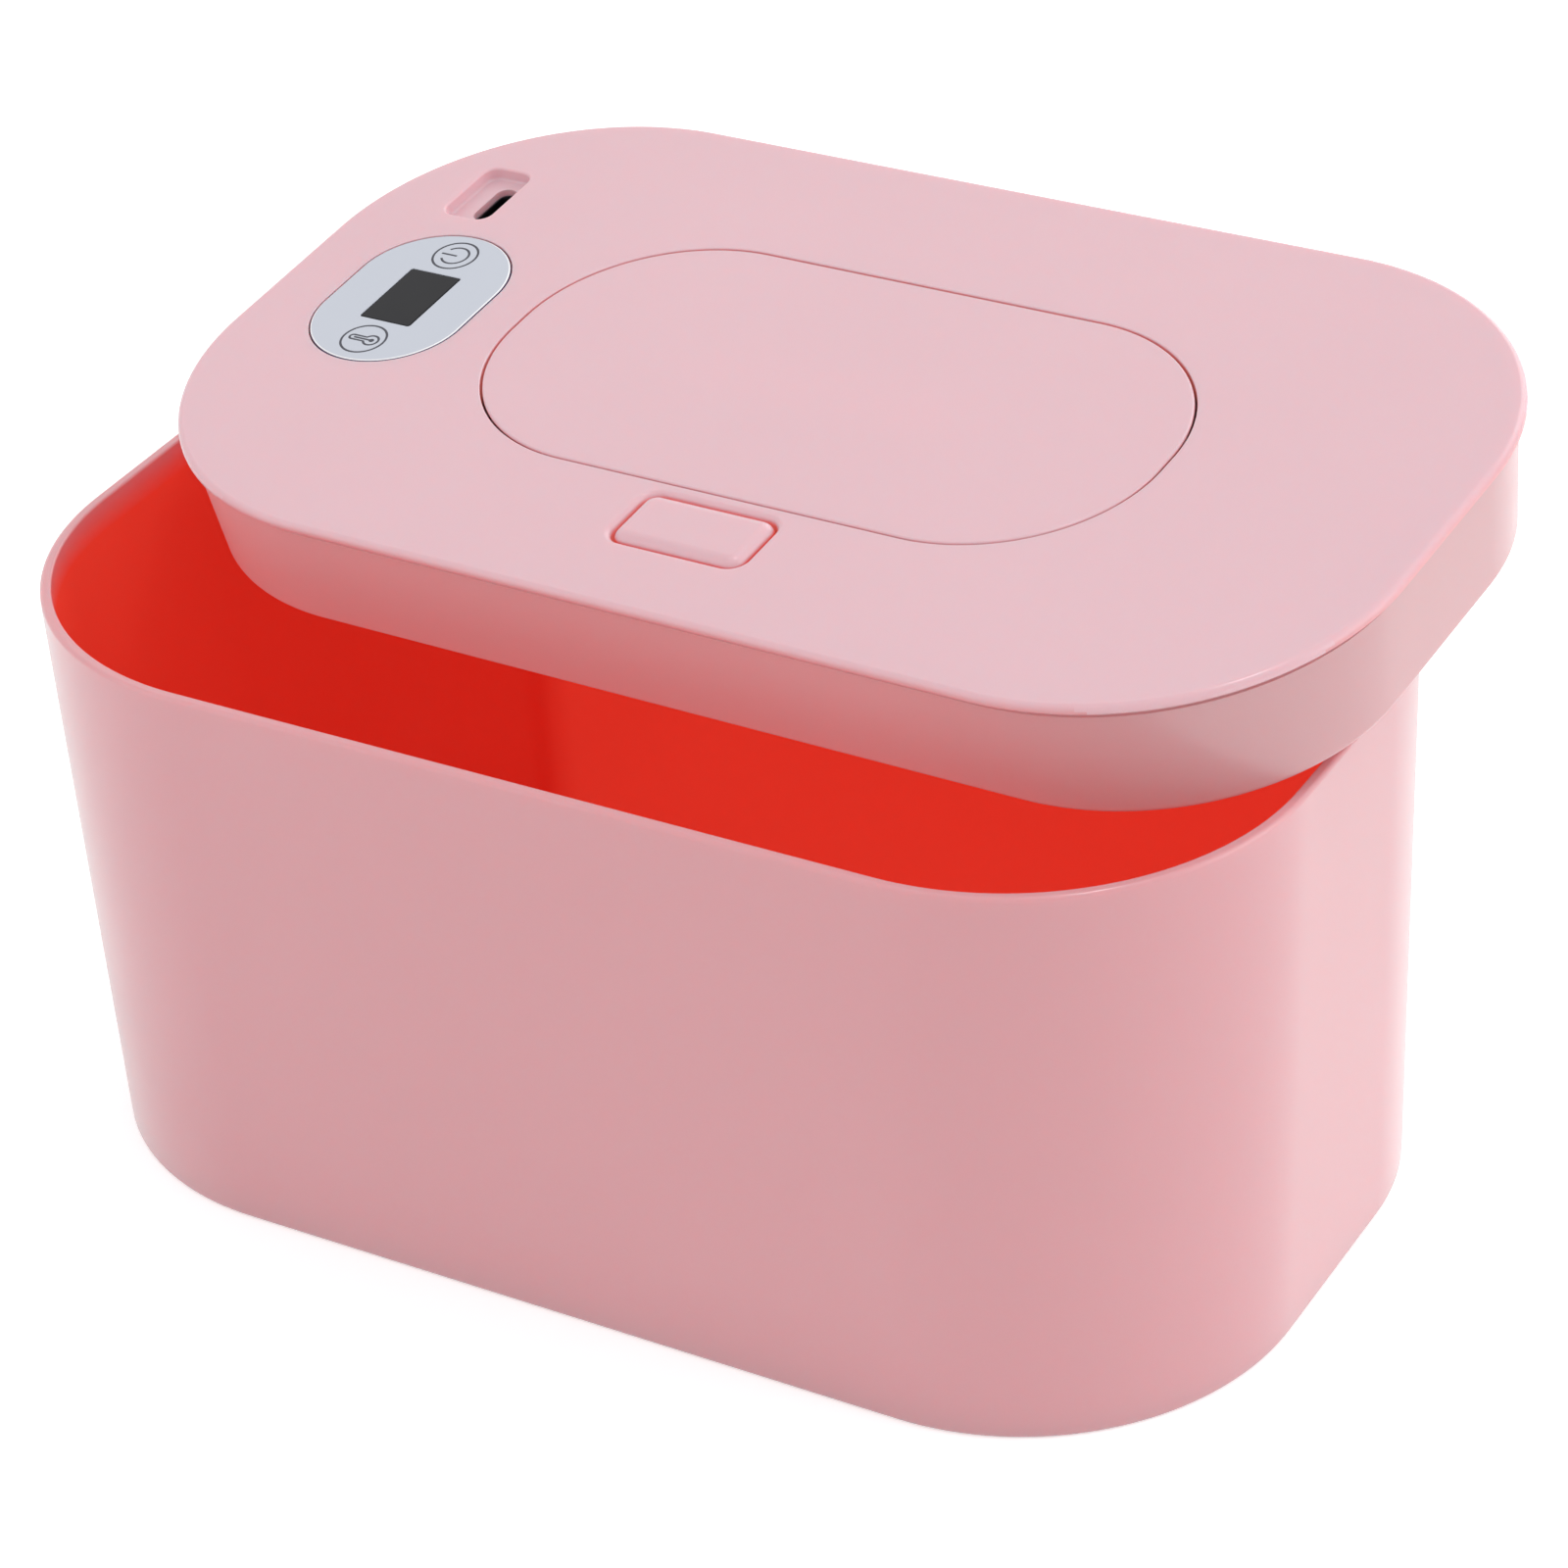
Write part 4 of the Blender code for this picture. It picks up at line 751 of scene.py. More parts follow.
def edged_plastic(name, darkening, gap_glow):
    """Plastic of the lid's top pieces, with painted light: deeper red towards its outer edge
    for light through the thin edge, and painted shade with a red glow in its narrow gaps.
    """
    settings = look()
    nodes = moulded(name, settings.cover_pink, 0.4)
    down = -LID.col[2].to_3d()
    along = nodes.add("ShaderNodeVectorMath", {0: nodes.coordinates, 1: down}, operation='DOT_PRODUCT')["Value"]
    depth = nodes.sum('ADD', along, -down.dot(LID.translation))
    # Painted deeper red on the lip's side, for light through the thin outer edge
    side = nodes.times(nodes.ranged(depth, 0.0001, LIP_THICK, 0.0, 1.0), nodes.attribute("edge_face"))
    # Painted shade and red glow inside the narrow gaps, by depth below where each gap's painted shade starts
    inward = nodes.sum('SUBTRACT', depth, nodes.attribute("gap_start"))
    gap = nodes.times(nodes.ranged(inward, *GAP_ONSET, 0.0, 1.0), nodes.ranged(inward, *GAP_FADE, 1.0, 0.0))
    base = nodes.mixed(side, nodes.base(), settings.edge_pink)
    nodes.set(Base_Color=nodes.mixed(nodes.times(gap, darkening), base, settings.gap_red))
    nodes.set(Emission_Color=settings.glow_red, Emission_Strength=nodes.times(gap, gap_glow))
    return nodes.material


def mark_faces(item, name, value):
    """Give each face of an object a number, as an attribute."""
    marks = item.data.attributes.new(name, 'FLOAT', 'FACE')
    for polygon in item.data.polygons:
        marks.data[polygon.index].value = float(value(polygon))


def within(polygon, size, margin, middle=0):
    """Whether a face's middle lies inside a rectangle with a margin round it, about a point on the Y axis."""
    x, y = polygon.center.xy
    return abs(x) < size[0] / 2 + margin[0] and abs(y - middle) < size[1] / 2 + margin[1]


def gap_start(polygon):
    """The depth where a gap's painted shade starts, or one that is never reached outside the gaps."""
    if not within(polygon, LIP, EDGE_BAND) or abs(polygon.normal.z) > 0.6 or polygon.center.z < GAP_FLOOR:
        return 1
    if within(polygon, BUTTON, (0.004, 0.0018), BUTTON_Y):
        return BUTTON_EDGE_DEPTH
    return FLIP_EDGE_DEPTH if within(polygon, WELL, (0.002, 0.002)) else 1


def mark_edges(item):
    """Mark the outer edge of a piece of the lid's top, and how deep each of its gaps starts, for painted light.
    """
    mark_faces(item, "edge_face", lambda polygon: not within(polygon, LIP, EDGE_BAND))
    mark_faces(item, "gap_start", gap_start)


def smooth_finish(name, colour, roughness, metallic=0.0, grain=400, depth=0.02):
    """A plain smooth finish with a slight change of tone, gloss and surface."""
    nodes = Nodes(name)
    nodes.set(Base_Color=nodes.mixed(nodes.uneven(0, 1, 40, 3), scaled(colour, 0.96), scaled(colour, 1.03)))
    nodes.set(Roughness=nodes.uneven(roughness * 0.9, roughness * 1.12, 120, 3), Metallic=metallic)
    nodes.set(Normal=nodes.raised(nodes.noise(grain, 3), depth, 0.0002))
    return nodes.material


def brushed(name, colour, roughness):
    """Plain metal with fine uneven polish."""
    return smooth_finish(name, colour, roughness, 1.0, 900, 0.04)


# Pieces, each with its operator
def tub_outline(z, inset=0.0):
    """The outline of the drafted wall at a height, drawn in by an inset."""
    share = (z - TUB_BASE_EDGE) / (TUB_HEIGHT - RIM_OUTER_EDGE - TUB_BASE_EDGE)
    length = TUB_LENGTH - 2 * TUB_END_DRAFT * (1 - share)
    width = TUB_WIDTH - 2 * TUB_SIDE_DRAFT * (1 - share)
    corner = TUB_BASE_CORNER + (TUB_CORNER - TUB_BASE_CORNER) * share
    return grown((length, width, corner), -inset)


def is_inner_face(polygon):
    """Whether a face of the tub belongs to its inside."""
    centre = polygon.center
    inward = centre.x * polygon.normal.x + centre.y * polygon.normal.y < -0.0001
    floor = TUB_FLOOR - 0.0005 < centre.z < TUB_HEIGHT / 2 and polygon.normal.z > 0.3
    return inward or floor


class WARMER_OT_tub(bpy.types.Operator):
    """Make the open tub"""
    bl_idname = "warmer.tub"
    bl_label = "Tub"

    def execute(self, context):
        stations = list(reversed(round_over(tub_outline(TUB_BASE_EDGE), TUB_BASE_EDGE, TUB_BASE_EDGE, -1)))
        shoulder = TUB_HEIGHT - RIM_OUTER_EDGE
        for step in range(1, TUB_BANDS):
            z = TUB_BASE_EDGE + (shoulder - TUB_BASE_EDGE) * step / TUB_BANDS
            stations.append((tub_outline(z), z))
        stations += round_over(tub_outline(shoulder), shoulder, RIM_OUTER_EDGE, 1)
        mouth = tub_outline(shoulder, TUB_WALL)
        stations += reversed(flared(mouth, TUB_HEIGHT, RIM_INNER_EDGE))
        bottom = TUB_FLOOR + TUB_INNER_EDGE
        for step in range(1, INNER_BANDS):
            z = shoulder - (shoulder - bottom) * step / INNER_BANDS
            stations.append((tub_outline(z, TUB_WALL), z))
        stations += round_over(tub_outline(bottom, TUB_WALL), bottom, TUB_INNER_EDGE, -1)
        tub = solid("tub_shell", loft(stations))
        mark_faces(tub, "inner_face", is_inner_face)
        dressed(tub, tub_plastic(), "tub_plastic", "tub", body="tub", place=Matrix.Identity(4))
        return {'FINISHED'}


def side_hole_prisms():
    """The window that the latch nose passes, and the bores for the ends of the hinge pin."""
    reach = FLIP_GAP + BUTTON_SPACING + POCKET[1] / 2
    window = (LATCH_WIDTH + 2 * FIT_GAP, reach, 0)
    place = (0, -(WELL[1] + BUTTON_SPACING) / 2)
    holes = [prism(window, NOSE_BASE - FIT_GAP, LATCH_TOP + FIT_GAP, place, 1)]
    for side in (-1, 1):
        ends = sorted((side * (BAY_HALF + BAY_WALL + OVERRUN), side * (BAY_HALF - OVERRUN)))
        holes.append(rod(PIN_RADIUS + PIN_PLAY, *ends))
    return holes


def bay_block(wall, top):
    """The hinge bay's shell, or its hollow for a wall of 0."""
    size = (2 * (BAY_HALF + wall), BAY_BACK - BAY_FRONT + 2 * wall, 0)
    return prism(size, BAY_FLOOR - wall, top, (0, (BAY_FRONT + BAY_BACK) / 2), 1)


def cover_walls():
    """The well's shell, the screw bosses, the board posts and the port's shell."""
    root = -TOP_THICK / 2
    made = [prism(grown(WELL, WELL_WALL), -WELL_DEPTH - WELL_FLOOR, root, steps=look().corner_steps)]
    made += posts(BOSS_RADIUS, FIT_GAP - LID_HEIGHT + CUP_HEIGHT, root, BOSS_PLACES)
    made += posts(BOARD_POST_RADIUS, BOARD_TOP + FIT_GAP, root, BOARD_PLACES)
    made.append(prism(grown(PORT, PORT_WALL), -PORT_DEPTH - PORT_WALL, root, PORT_PLACE))
    return made


def cover_guides():
    """The shell of the button's pocket, and the throat down to the heater's hole."""
    throat_top = -WELL_DEPTH - WELL_FLOOR / 2
    return [
        prism(grown(POCKET, POCKET_WALL), -POCKET_DEPTH - POCKET_FLOOR, -TOP_THICK / 2, (0, BUTTON_Y)),
        prism(grown(THROAT, THROAT_WALL), THROAT_RECESS - LID_HEIGHT, throat_top, steps=24),
    ]


def cover_hollows():
    """The well, the port recess, the panel recess and the screw holes."""
    face = (*PORT[:2], PORT[2] + PORT_SLOPE)
    floor = grown(face, -0.7 * PORT_SLOPE)
    port = list(reversed(round_over(floor, PORT_FLOOR_EDGE - PORT_DEPTH, PORT_FLOOR_EDGE, -1)))
    port += flared(grown(face, -0.5 * PORT_SLOPE), 0, 0.5 * PORT_SLOPE)
    port.append((port[-1][0], OVERRUN))
    made = [
        hollow(WELL, -WELL_DEPTH, 0, 0.00025),
        loft(port, 10, PORT_PLACE),
        hollow(grown(PANEL, PANEL_GAP), -PANEL_THICK - PANEL_GAP, 0, 0.00015, None, (PANEL_X, 0)),
    ]
    end = HEAD_BORE_DEPTH - LID_HEIGHT + HOUSING_SCREW[3] + FIT_GAP
    made += posts(HOUSING_SCREW[2] + SCREW_PLAY, -LID_HEIGHT, end, BOSS_PLACES, 24)
    end = BOARD_UNDERSIDE + BOARD_SCREW[3]
    return made + posts(BOARD_SCREW[2] + SCREW_PLAY, BOARD_TOP - OVERRUN, end, BOARD_PLACES, 24)


def cover_openings():
    """What is cut through the floors of the hollows: pocket, throat, inlet slot and display."""
    slot_base = -PORT_DEPTH - PORT_WALL - OVERRUN
    ledge = grown(DISPLAY, -DISPLAY_LEDGE)
    return [
        hollow(POCKET, -POCKET_DEPTH, 0, POCKET_EDGE, 10, (0, BUTTON_Y)),
        hollow(THROAT, -LID_HEIGHT, -WELL_DEPTH, 0.0002, 24),
        hollow(grown(INLET, INLET_GAP), slot_base, -PORT_DEPTH, 0.00012, 10, INLET_PLACE),
        prism(ledge, -TOP_THICK - OVERRUN, OVERRUN - PANEL_THICK, (PANEL_X, 0), 1),
    ]


class WARMER_OT_top_cover(bpy.types.Operator):
    """Make the lid's top cover with its well, hinge bay, button pocket, panel recess and port"""
    bl_idname = "warmer.top_cover"
    bl_label = "Top Cover"

    def execute(self, context):
        plug = grown(SKIRT, -HOUSING_WALL - FIT_GAP)
        stations = [(plug, -TOP_THICK), (plug, -LIP_THICK), (grown(LIP, -FINE), -LIP_THICK)]
        stations += [(LIP, FINE - LIP_THICK)] + round_over(LIP, -LIP_EDGE, LIP_EDGE, 1)
        cover = solid("lid_top_cover", loft(stations))
        join(cover, *cover_walls())
        join(cover, *cover_guides())
        join(cover, bay_block(BAY_WALL, -TOP_THICK / 2))
        cut(cover, *cover_hollows())
        cut(cover, *cover_openings())
        cut(cover, bay_block(0, -TOP_THICK))
        post = (LATCH_WIDTH / 2, SPRING_POST_THICK, 0)
        place = (0, LATCH_FACE_Y - BUTTON_TRAVEL - 2 * SPRING_POST_THICK)
        join(cover, prism(post, -POCKET_DEPTH - POCKET_FLOOR / 2, LATCH_TOP, place, 1))
        cut(cover, *side_hole_prisms())
        mark_edges(cover)
        plastic = edged_plastic("cover plastic", 0.45, 0.8 * look().gap_glow)
        dressed(cover, plastic, "cover_plastic", "top_cover")
        return {'FINISHED'}


def skirt_outline(z):
    """The outline of the drafted skirt at a height of the lid's own frame."""
    share = min(max((-z - LIP_THICK) / (LID_HEIGHT - LIP_THICK), 0), 1)
    length = SKIRT[0] - 2 * SKIRT_END_DRAFT * share
    width = SKIRT[1] - 2 * SKIRT_SIDE_DRAFT * share
    return length, width, SKIRT[2] + (SKIRT_BASE_CORNER - SKIRT[2]) * share


class WARMER_OT_lower_housing(bpy.types.Operator):
    """Make the drafted tray that closes the lid from below"""
    bl_idname = "warmer.lower_housing"
    bl_label = "Lower Housing"

    def execute(self, context):
        base = SKIRT_EDGE - LID_HEIGHT
        top = -LIP_THICK - FIT_GAP
        stations = list(reversed(round_over(skirt_outline(base), base, SKIRT_EDGE, -1)))
        low, high = GROOVE
        for step in range(1, 7):
            z = base + (low - base) * step / 6
            stations.append((skirt_outline(z), z))
        stations += [(grown(skirt_outline(low), -GROOVE_DEPTH), low + GROOVE_DEPTH / 3),
                     (grown(skirt_outline(high), -GROOVE_DEPTH), high - GROOVE_DEPTH / 3),
                     (skirt_outline(high), high), (skirt_outline(top), top)]
        stations += [(grown(skirt_outline(z), -HOUSING_WALL), z) for z in (top, HOUSING_INSIDE)]
        tray = solid("lid_lower_housing", loft(stations))
        cup_top = CUP_HEIGHT - LID_HEIGHT
        join(tray, *posts(CUP_RADIUS, HOUSING_INSIDE - HOUSING_FLOOR / 2, cup_top, BOSS_PLACES))
        window = [(size, -LID_HEIGHT - z) for size, z in reversed(flared(WINDOW, 0, 0.0006))]
        window = [(window[0][0], -LID_HEIGHT - OVERRUN)] + window + [(WINDOW, HOUSING_INSIDE + OVERRUN)]
        cuts = [loft(window, 20)]
        head = HOUSING_SCREW[0] + SCREW_PLAY
        shank = HOUSING_SCREW[2] + SCREW_PLAY
        seat = HEAD_BORE_DEPTH - LID_HEIGHT
        below = -LID_HEIGHT - OVERRUN
        profile = ((head, below), (head, seat), (shank, seat), (shank, cup_top + OVERRUN))
        cuts += [lathe(profile, place) for place in BOSS_PLACES]
        cut(tray, *cuts)
        nodes = moulded("housing plastic", look().housing_pink, 0.5)
        across = nodes.axes()["X"]
        # Painted glow: emission on the housing that fades out towards its right end. Painted shade: the right
        # end is made darker.
        glow = nodes.ranged(across, *DIM_END, look().housing_glow, 0.0)
        painted_shade = nodes.ranged(across, *PAINTED_SHADE_END, 0.0, 1.0)
        nodes.set(Base_Color=nodes.mixed(painted_shade, nodes.base(), scaled(look().housing_pink, 0.88)))
        nodes.set(Emission_Color=look().housing_pink, Emission_Strength=glow)
        dressed(tray, nodes.material, "housing_plastic", "lower_housing")
        return {'FINISHED'}


def arm_profile():
    """Side view of an arm about the hinge axis: a hub, a stem, and a neck round the well's edge."""
    def from_open(y, z):
        cos, sin = math.cos(OPEN_ANGLE), math.sin(OPEN_ANGLE)
        return y * cos - z * sin, y * sin + z * cos

    def on_arc(radius, start, end, steps):
        angles = [start + (end - start) * step / steps for step in range(steps + 1)]
        return [(radius * math.cos(angle), radius * math.sin(angle)) for angle in angles]

    stem_low = KNUCKLE_RADIUS - ARM_THICK
    hub_end = -math.pi - math.asin(stem_low / KNUCKLE_RADIUS)
    hub = [from_open(*point) for point in on_arc(KNUCKLE_RADIUS, math.pi / 2, hub_end, 36)]
    foot = -ARM_INNER - ARM_FOOT
    sole = from_open(foot, stem_low)
    underside = HINGE_DEPTH - FLIP_THICK
    root = HINGE_DEPTH - FLIP_THICK / 2
    outer_start = math.pi - math.asin(foot / ARM_OUTER)
    outer = on_arc(ARM_OUTER, outer_start, math.pi - math.asin(underside / ARM_OUTER), 24)
    inner_end = math.pi - math.asin(KNUCKLE_RADIUS / ARM_INNER) + OPEN_ANGLE
    inner = on_arc(ARM_INNER, math.pi - math.asin(underside / ARM_INNER), inner_end, 24)
    return hub + [sole] + outer + [(outer[-1][0], root), (inner[0][0], root)] + inner


def cover_hook():
    """The hook under the front of the cover that the latch nose holds."""
    front = HOOK_CLEARANCE + HOOK_LIP - WELL[1] / 2
    base = HOOK_FLOOR_GAP - WELL_DEPTH
    root = -FLIP_THICK / 2
    points = [
        (front + HOOK_THICK, root), (front + HOOK_THICK, base), (front - HOOK_LIP, base),
        (front - HOOK_LIP, base + HOOK_LIP_HEIGHT / 2), (front, base + HOOK_LIP_HEIGHT), (front, root),
    ]
    return side_prism(points, -HOOK_WIDTH / 2, HOOK_WIDTH / 2)


def make_seal():
    """The silicone ring, with a soft rounded lip at its foot."""
    low = FIT_GAP - WELL_DEPTH
    high = -FLIP_THICK - FIT_GAP
    inner = grown(SEAL, -SEAL_WALL)
    stations = [(SEAL, high), (SEAL, low + 0.0006)]
    stations += [(grown(SEAL, -0.0003), low + 0.00015), (grown(SEAL, -0.0006), low)]
    stations += [(grown(inner, 0.0006), low), (grown(inner, 0.0003), low + 0.00015)]
    stations += [(inner, low + 0.0006), (inner, high)]
    ring_seal = solid("flip_seal_ring", loft(stations, 24, closed=True))
    silicone = smooth_finish("seal silicone", (0.8, 0.72, 0.72), 0.5)
    dressed(ring_seal, silicone, "silicone", "flip_cover_seal", body="flip")


class WARMER_OT_flip_cover(bpy.types.Operator):
    """Make the flip cover with its gooseneck arms, its hook and the seal under it"""
    bl_idname = "warmer.flip_cover"
    bl_label = "Flip Cover"

    def execute(self, context):
        stations = [(grown(FLIP, -FLIP_DRAFT), -FLIP_THICK)] + round_over(FLIP, -FLIP_EDGE, FLIP_EDGE, 1)
        cover = solid("flip_cover_plate", loft(stations))
        profile = [(HINGE_Y + y, z - HINGE_DEPTH) for y, z in arm_profile()]
        added = [cover_hook()]
        for side in (-1, 1):
            middle = side * ARM_SPREAD / 2
            added.append(side_prism(profile, middle - ARM_WIDTH / 2, middle + ARM_WIDTH / 2))
        join(cover, *added)
        outer, inner = grown(SEAL, RIB_WALL), grown(SEAL, FIT_GAP)
        root = -FLIP_THICK / 2
        corners = ((outer, root), (outer, -RIB_DEPTH), (inner, -RIB_DEPTH), (inner, root))
        join(cover, loft(corners, 24, closed=True))
        cut(cover, rod(PIN_RADIUS + PIN_PLAY, -BAY_HALF, BAY_HALF))
        mark_edges(cover)
        plastic = edged_plastic("flip plastic", 0.35, 0)
        dressed(cover, plastic, "flip_plastic", "flip_cover", body="flip")
        make_seal()
        return {'FINISHED'}


class WARMER_OT_release_button(bpy.types.Operator):
    """Make the pillowed release button"""
    bl_idname = "warmer.release_button"
    bl_label = "Release Button"

    def execute(self, context):
        bottom = -BUTTON_SKIRT
        centre = (0, BUTTON_Y)
        cavity = (BUTTON[0] - 2 * BUTTON_WALL, BUTTON[1] - 2 * BUTTON_WALL, BUTTON[2] / 2)
        stations = [(cavity, CROWN_UNDERSIDE), (cavity, bottom), (BUTTON, bottom)]
        pillow = 1.4 * BUTTON_EDGE
        stations += round_over(BUTTON, BUTTON_RISE - pillow, pillow, 1)
        cap = solid("release_button_cap", loft(stations, 12, centre))
        slope = LATCH_FACE_Y + LATCH_BASE + WING_HEIGHT + FIT_GAP * math.sqrt(2)
        back = BUTTON_Y + BUTTON[1] / 2 - BUTTON_WALL / 2
        root = CROWN_UNDERSIDE + BUTTON_CROWN / 4
        cam = [(slope - root, root), (slope - bottom, bottom), (back, bottom), (back, root)]
        near = LATCH_WIDTH / 2 + FIT_GAP
        far = LATCH_WIDTH / 2 + WING_REACH
        join(cap, side_prism(cam, -far, -near), side_prism(cam, near, far))
        size = (LATCH_WIDTH + 2 * FIT_GAP, BUTTON[1] / 2, 0)
        top = LATCH_TOP + BUTTON_TRAVEL + FIT_GAP
        cut(cap, prism(size, bottom - OVERRUN, top, (0, BUTTON_Y + BUTTON[1] / 2), 1))
        mark_edges(cap)
        plastic = edged_plastic("button plastic", 1, look().gap_glow)
        dressed(cap, plastic, "button_plastic", "release_button", body="button", angle=40)
        return {'FINISHED'}


class WARMER_OT_latch(bpy.types.Operator):
    """Make the latch slider and the hinge pin"""
    bl_idname = "warmer.latch"
    bl_label = "Latch and Pin"

    def execute(self, context):
        bar = [
            (LATCH_FACE_Y, LATCH_BASE), (LATCH_STEP_Y, LATCH_BASE), (LATCH_STEP_Y, NOSE_BASE),
            (NOSE_TIP_Y, NOSE_BASE), (NOSE_TIP_Y - LATCH_PROUD, LATCH_TOP), (LATCH_FACE_Y, LATCH_TOP),
        ]
        wing = [
            (LATCH_FACE_Y, LATCH_BASE), (LATCH_FACE_Y + WING_HEIGHT, LATCH_BASE),
            (LATCH_FACE_Y, LATCH_BASE + WING_HEIGHT),
        ]
        half = LATCH_WIDTH / 2
        slider = solid("latch_slide_bar", side_prism(bar, -half, half))
        join(slider, *(side_prism(wing, middle - WING_REACH, middle + WING_REACH) for middle in (-half, half)))
        bore = lathe(((0.0012, LATCH_FACE_Y - OVERRUN), (0.0012, LATCH_STEP_Y - LATCH_BORE_WALL)))
        tool = solid("bore", bore)
        tool.data.transform(Matrix(((1, 0, 0, 0), (0, 0, 1, 0), (0, 1, 0, LATCH_BORE_Z), (0, 0, 0, 1))))
        tool.data.flip_normals()
        combined(slider, tool, 'DIFFERENCE')
        acetal = smooth_finish("slider plastic", (0.82, 0.81, 0.78), 0.38)
        dressed(slider, acetal, "slider_plastic", "latch_slider", body="latch")
        reach = BAY_HALF + PIN_SEAT
        pin = solid("hinge_pin_rod", pin_shape(PIN_RADIUS, reach, 0.0002))
        along_x = Matrix(((0, 0, 1, 0), (1, 0, 0, HINGE_Y), (0, 1, 0, -HINGE_DEPTH), (0, 0, 0, 1)))
        pin.data.transform(along_x)
        steel = brushed("pin steel", (0.62, 0.62, 0.64), 0.22)
        dressed(pin, steel, "steel", "hinge_pin")
        return {'FINISHED'}


def arc(centre, radius, start, end, steps=48):
    """Points on an arc, in degrees; a full turn ends on its first point."""
    points = []
    for step in range(steps + 1):
        angle = math.radians(start + (end - start) * step / steps)
        points.append((centre[0] + radius * math.cos(angle), centre[1] + radius * math.sin(angle), 0))
    if abs(end - start) == 360:
        points[-1] = points[0]
    return points


def power_icon(place):
    """A ring with the common power sign, its gap towards the lid's end."""
    x, y = place
    return [
        arc(place, ICON_RING, 0, 360, 72),
        arc(place, 0.00215, -145, 145),
        [(x - 0.0025, y, 0), (x + 0.0003, y, 0)],
    ]


def heat_icon(place):
    """A ring with a thermometer lying along the lid, its bulb away from the end."""
    bulb = (place[0] + BULB_OFFSET, place[1])
    stem = 0.00055
    reach = math.degrees(math.asin(stem / BULB_RADIUS))
    outline = arc(bulb, BULB_RADIUS, reach - 180, 180 - reach, 36)
    left = place[0] - 0.002
    outline += arc((left, place[1]), stem, 90, 270, 16)
    outline.append(outline[0])
    return [
        arc(place, ICON_RING, 0, 360, 72),
        outline,
        [(left + 0.0002, place[1], 0), (bulb[0], bulb[1], 0)],
    ]


class WARMER_OT_control_panel(bpy.types.Operator):
    """Make the panel film with its two icons, the display window and the display block"""
    bl_idname = "warmer.control_panel"
    bl_label = "Control Panel"

    def execute(self, context):
        hole = grown(DISPLAY, DISPLAY_GAP)
        edge = FINE
        stations = [(PANEL, -PANEL_THICK), (PANEL, -3 * edge), (grown(PANEL, -edge), -edge),
                    (grown(PANEL, -3 * edge), 0), (grown(hole, edge), 0), (hole, -edge), (hole, -PANEL_THICK)]
        film = solid("panel_film", loft(stations, None, (PANEL_X, 0), closed=True))
        # Painted highlight: the film's bevel is nearly white. Painted shadow: the film's sides are dark, for
        # the gap round the film.
        mark_faces(film, "cut_face", lambda polygon: 0.75 < polygon.normal.z < 0.97)
        mark_faces(film, "side_face", lambda polygon: polygon.normal.z < 0.6)
        coat = Nodes("panel print")
        grey = look().panel_grey
        tone = coat.mixed(coat.noise(40, 3), scaled(grey, 0.98), grey)
        tone = coat.mixed(coat.attribute("cut_face"), tone, (0.95, 0.96, 0.98))
        coat.set(Base_Color=coat.mixed(coat.attribute("side_face"), tone, (0.07, 0.05, 0.13)), Roughness=0.24)
        coat.set(Normal=coat.raised(coat.noise(900, 3), 0.01, 0.0002))
        dressed(film, coat.material, "panel_film", "panel_overlay", angle=20)
        ink = smooth_finish("icon ink", (0.035, 0.037, 0.055), 0.35)
        lines = power_icon((ICON_X, ICON_Y)) + heat_icon((ICON_X, -ICON_Y))
        icons = stroked("panel_icons", lines, ICON_STROKE, ink, 8, (1, 1, 0.12))
        dressed(icons, ink, "panel_film", angle=60)
        drop = lathe(((0.00042, -0.00002), (0.00042, 0.00002)), (PANEL_X + BULB_OFFSET, -ICON_Y), 24)
        bulb = solid("panel_icon_bulb", drop)
        dressed(bulb, ink, "panel_film")
        glass = [(DISPLAY, -PANEL_THICK), (DISPLAY, -0.00012), (grown(DISPLAY, -0.00012), 0)]
        window = solid("display_glass", loft(glass, 4, (PANEL_X, 0)))
        tint = Nodes("window tint")
        shade = tint.mixed(tint.noise(120), (0.012, 0.012, 0.014), (0.018, 0.018, 0.021))
        tint.set(Base_Color=shade, Roughness=tint.uneven(0.1, 0.16, 300), IOR=1.25)
        dressed(window, tint.material, "display_tint", "display_window")
        base = BOARD_TOP + FIT_GAP
        size = grown(DISPLAY, 0.0012)
        block = [(size, base), (size, base + 0.0042), (grown(size, -0.0002), base + 0.0044)]
        module = solid("display_block", loft(block, 4, (PANEL_X, 0)))
        grey = smooth_finish("display block grey", (0.62, 0.62, 0.62), 0.5)
        dressed(module, grey, "display_block", "display_module")
        return {'FINISHED'}


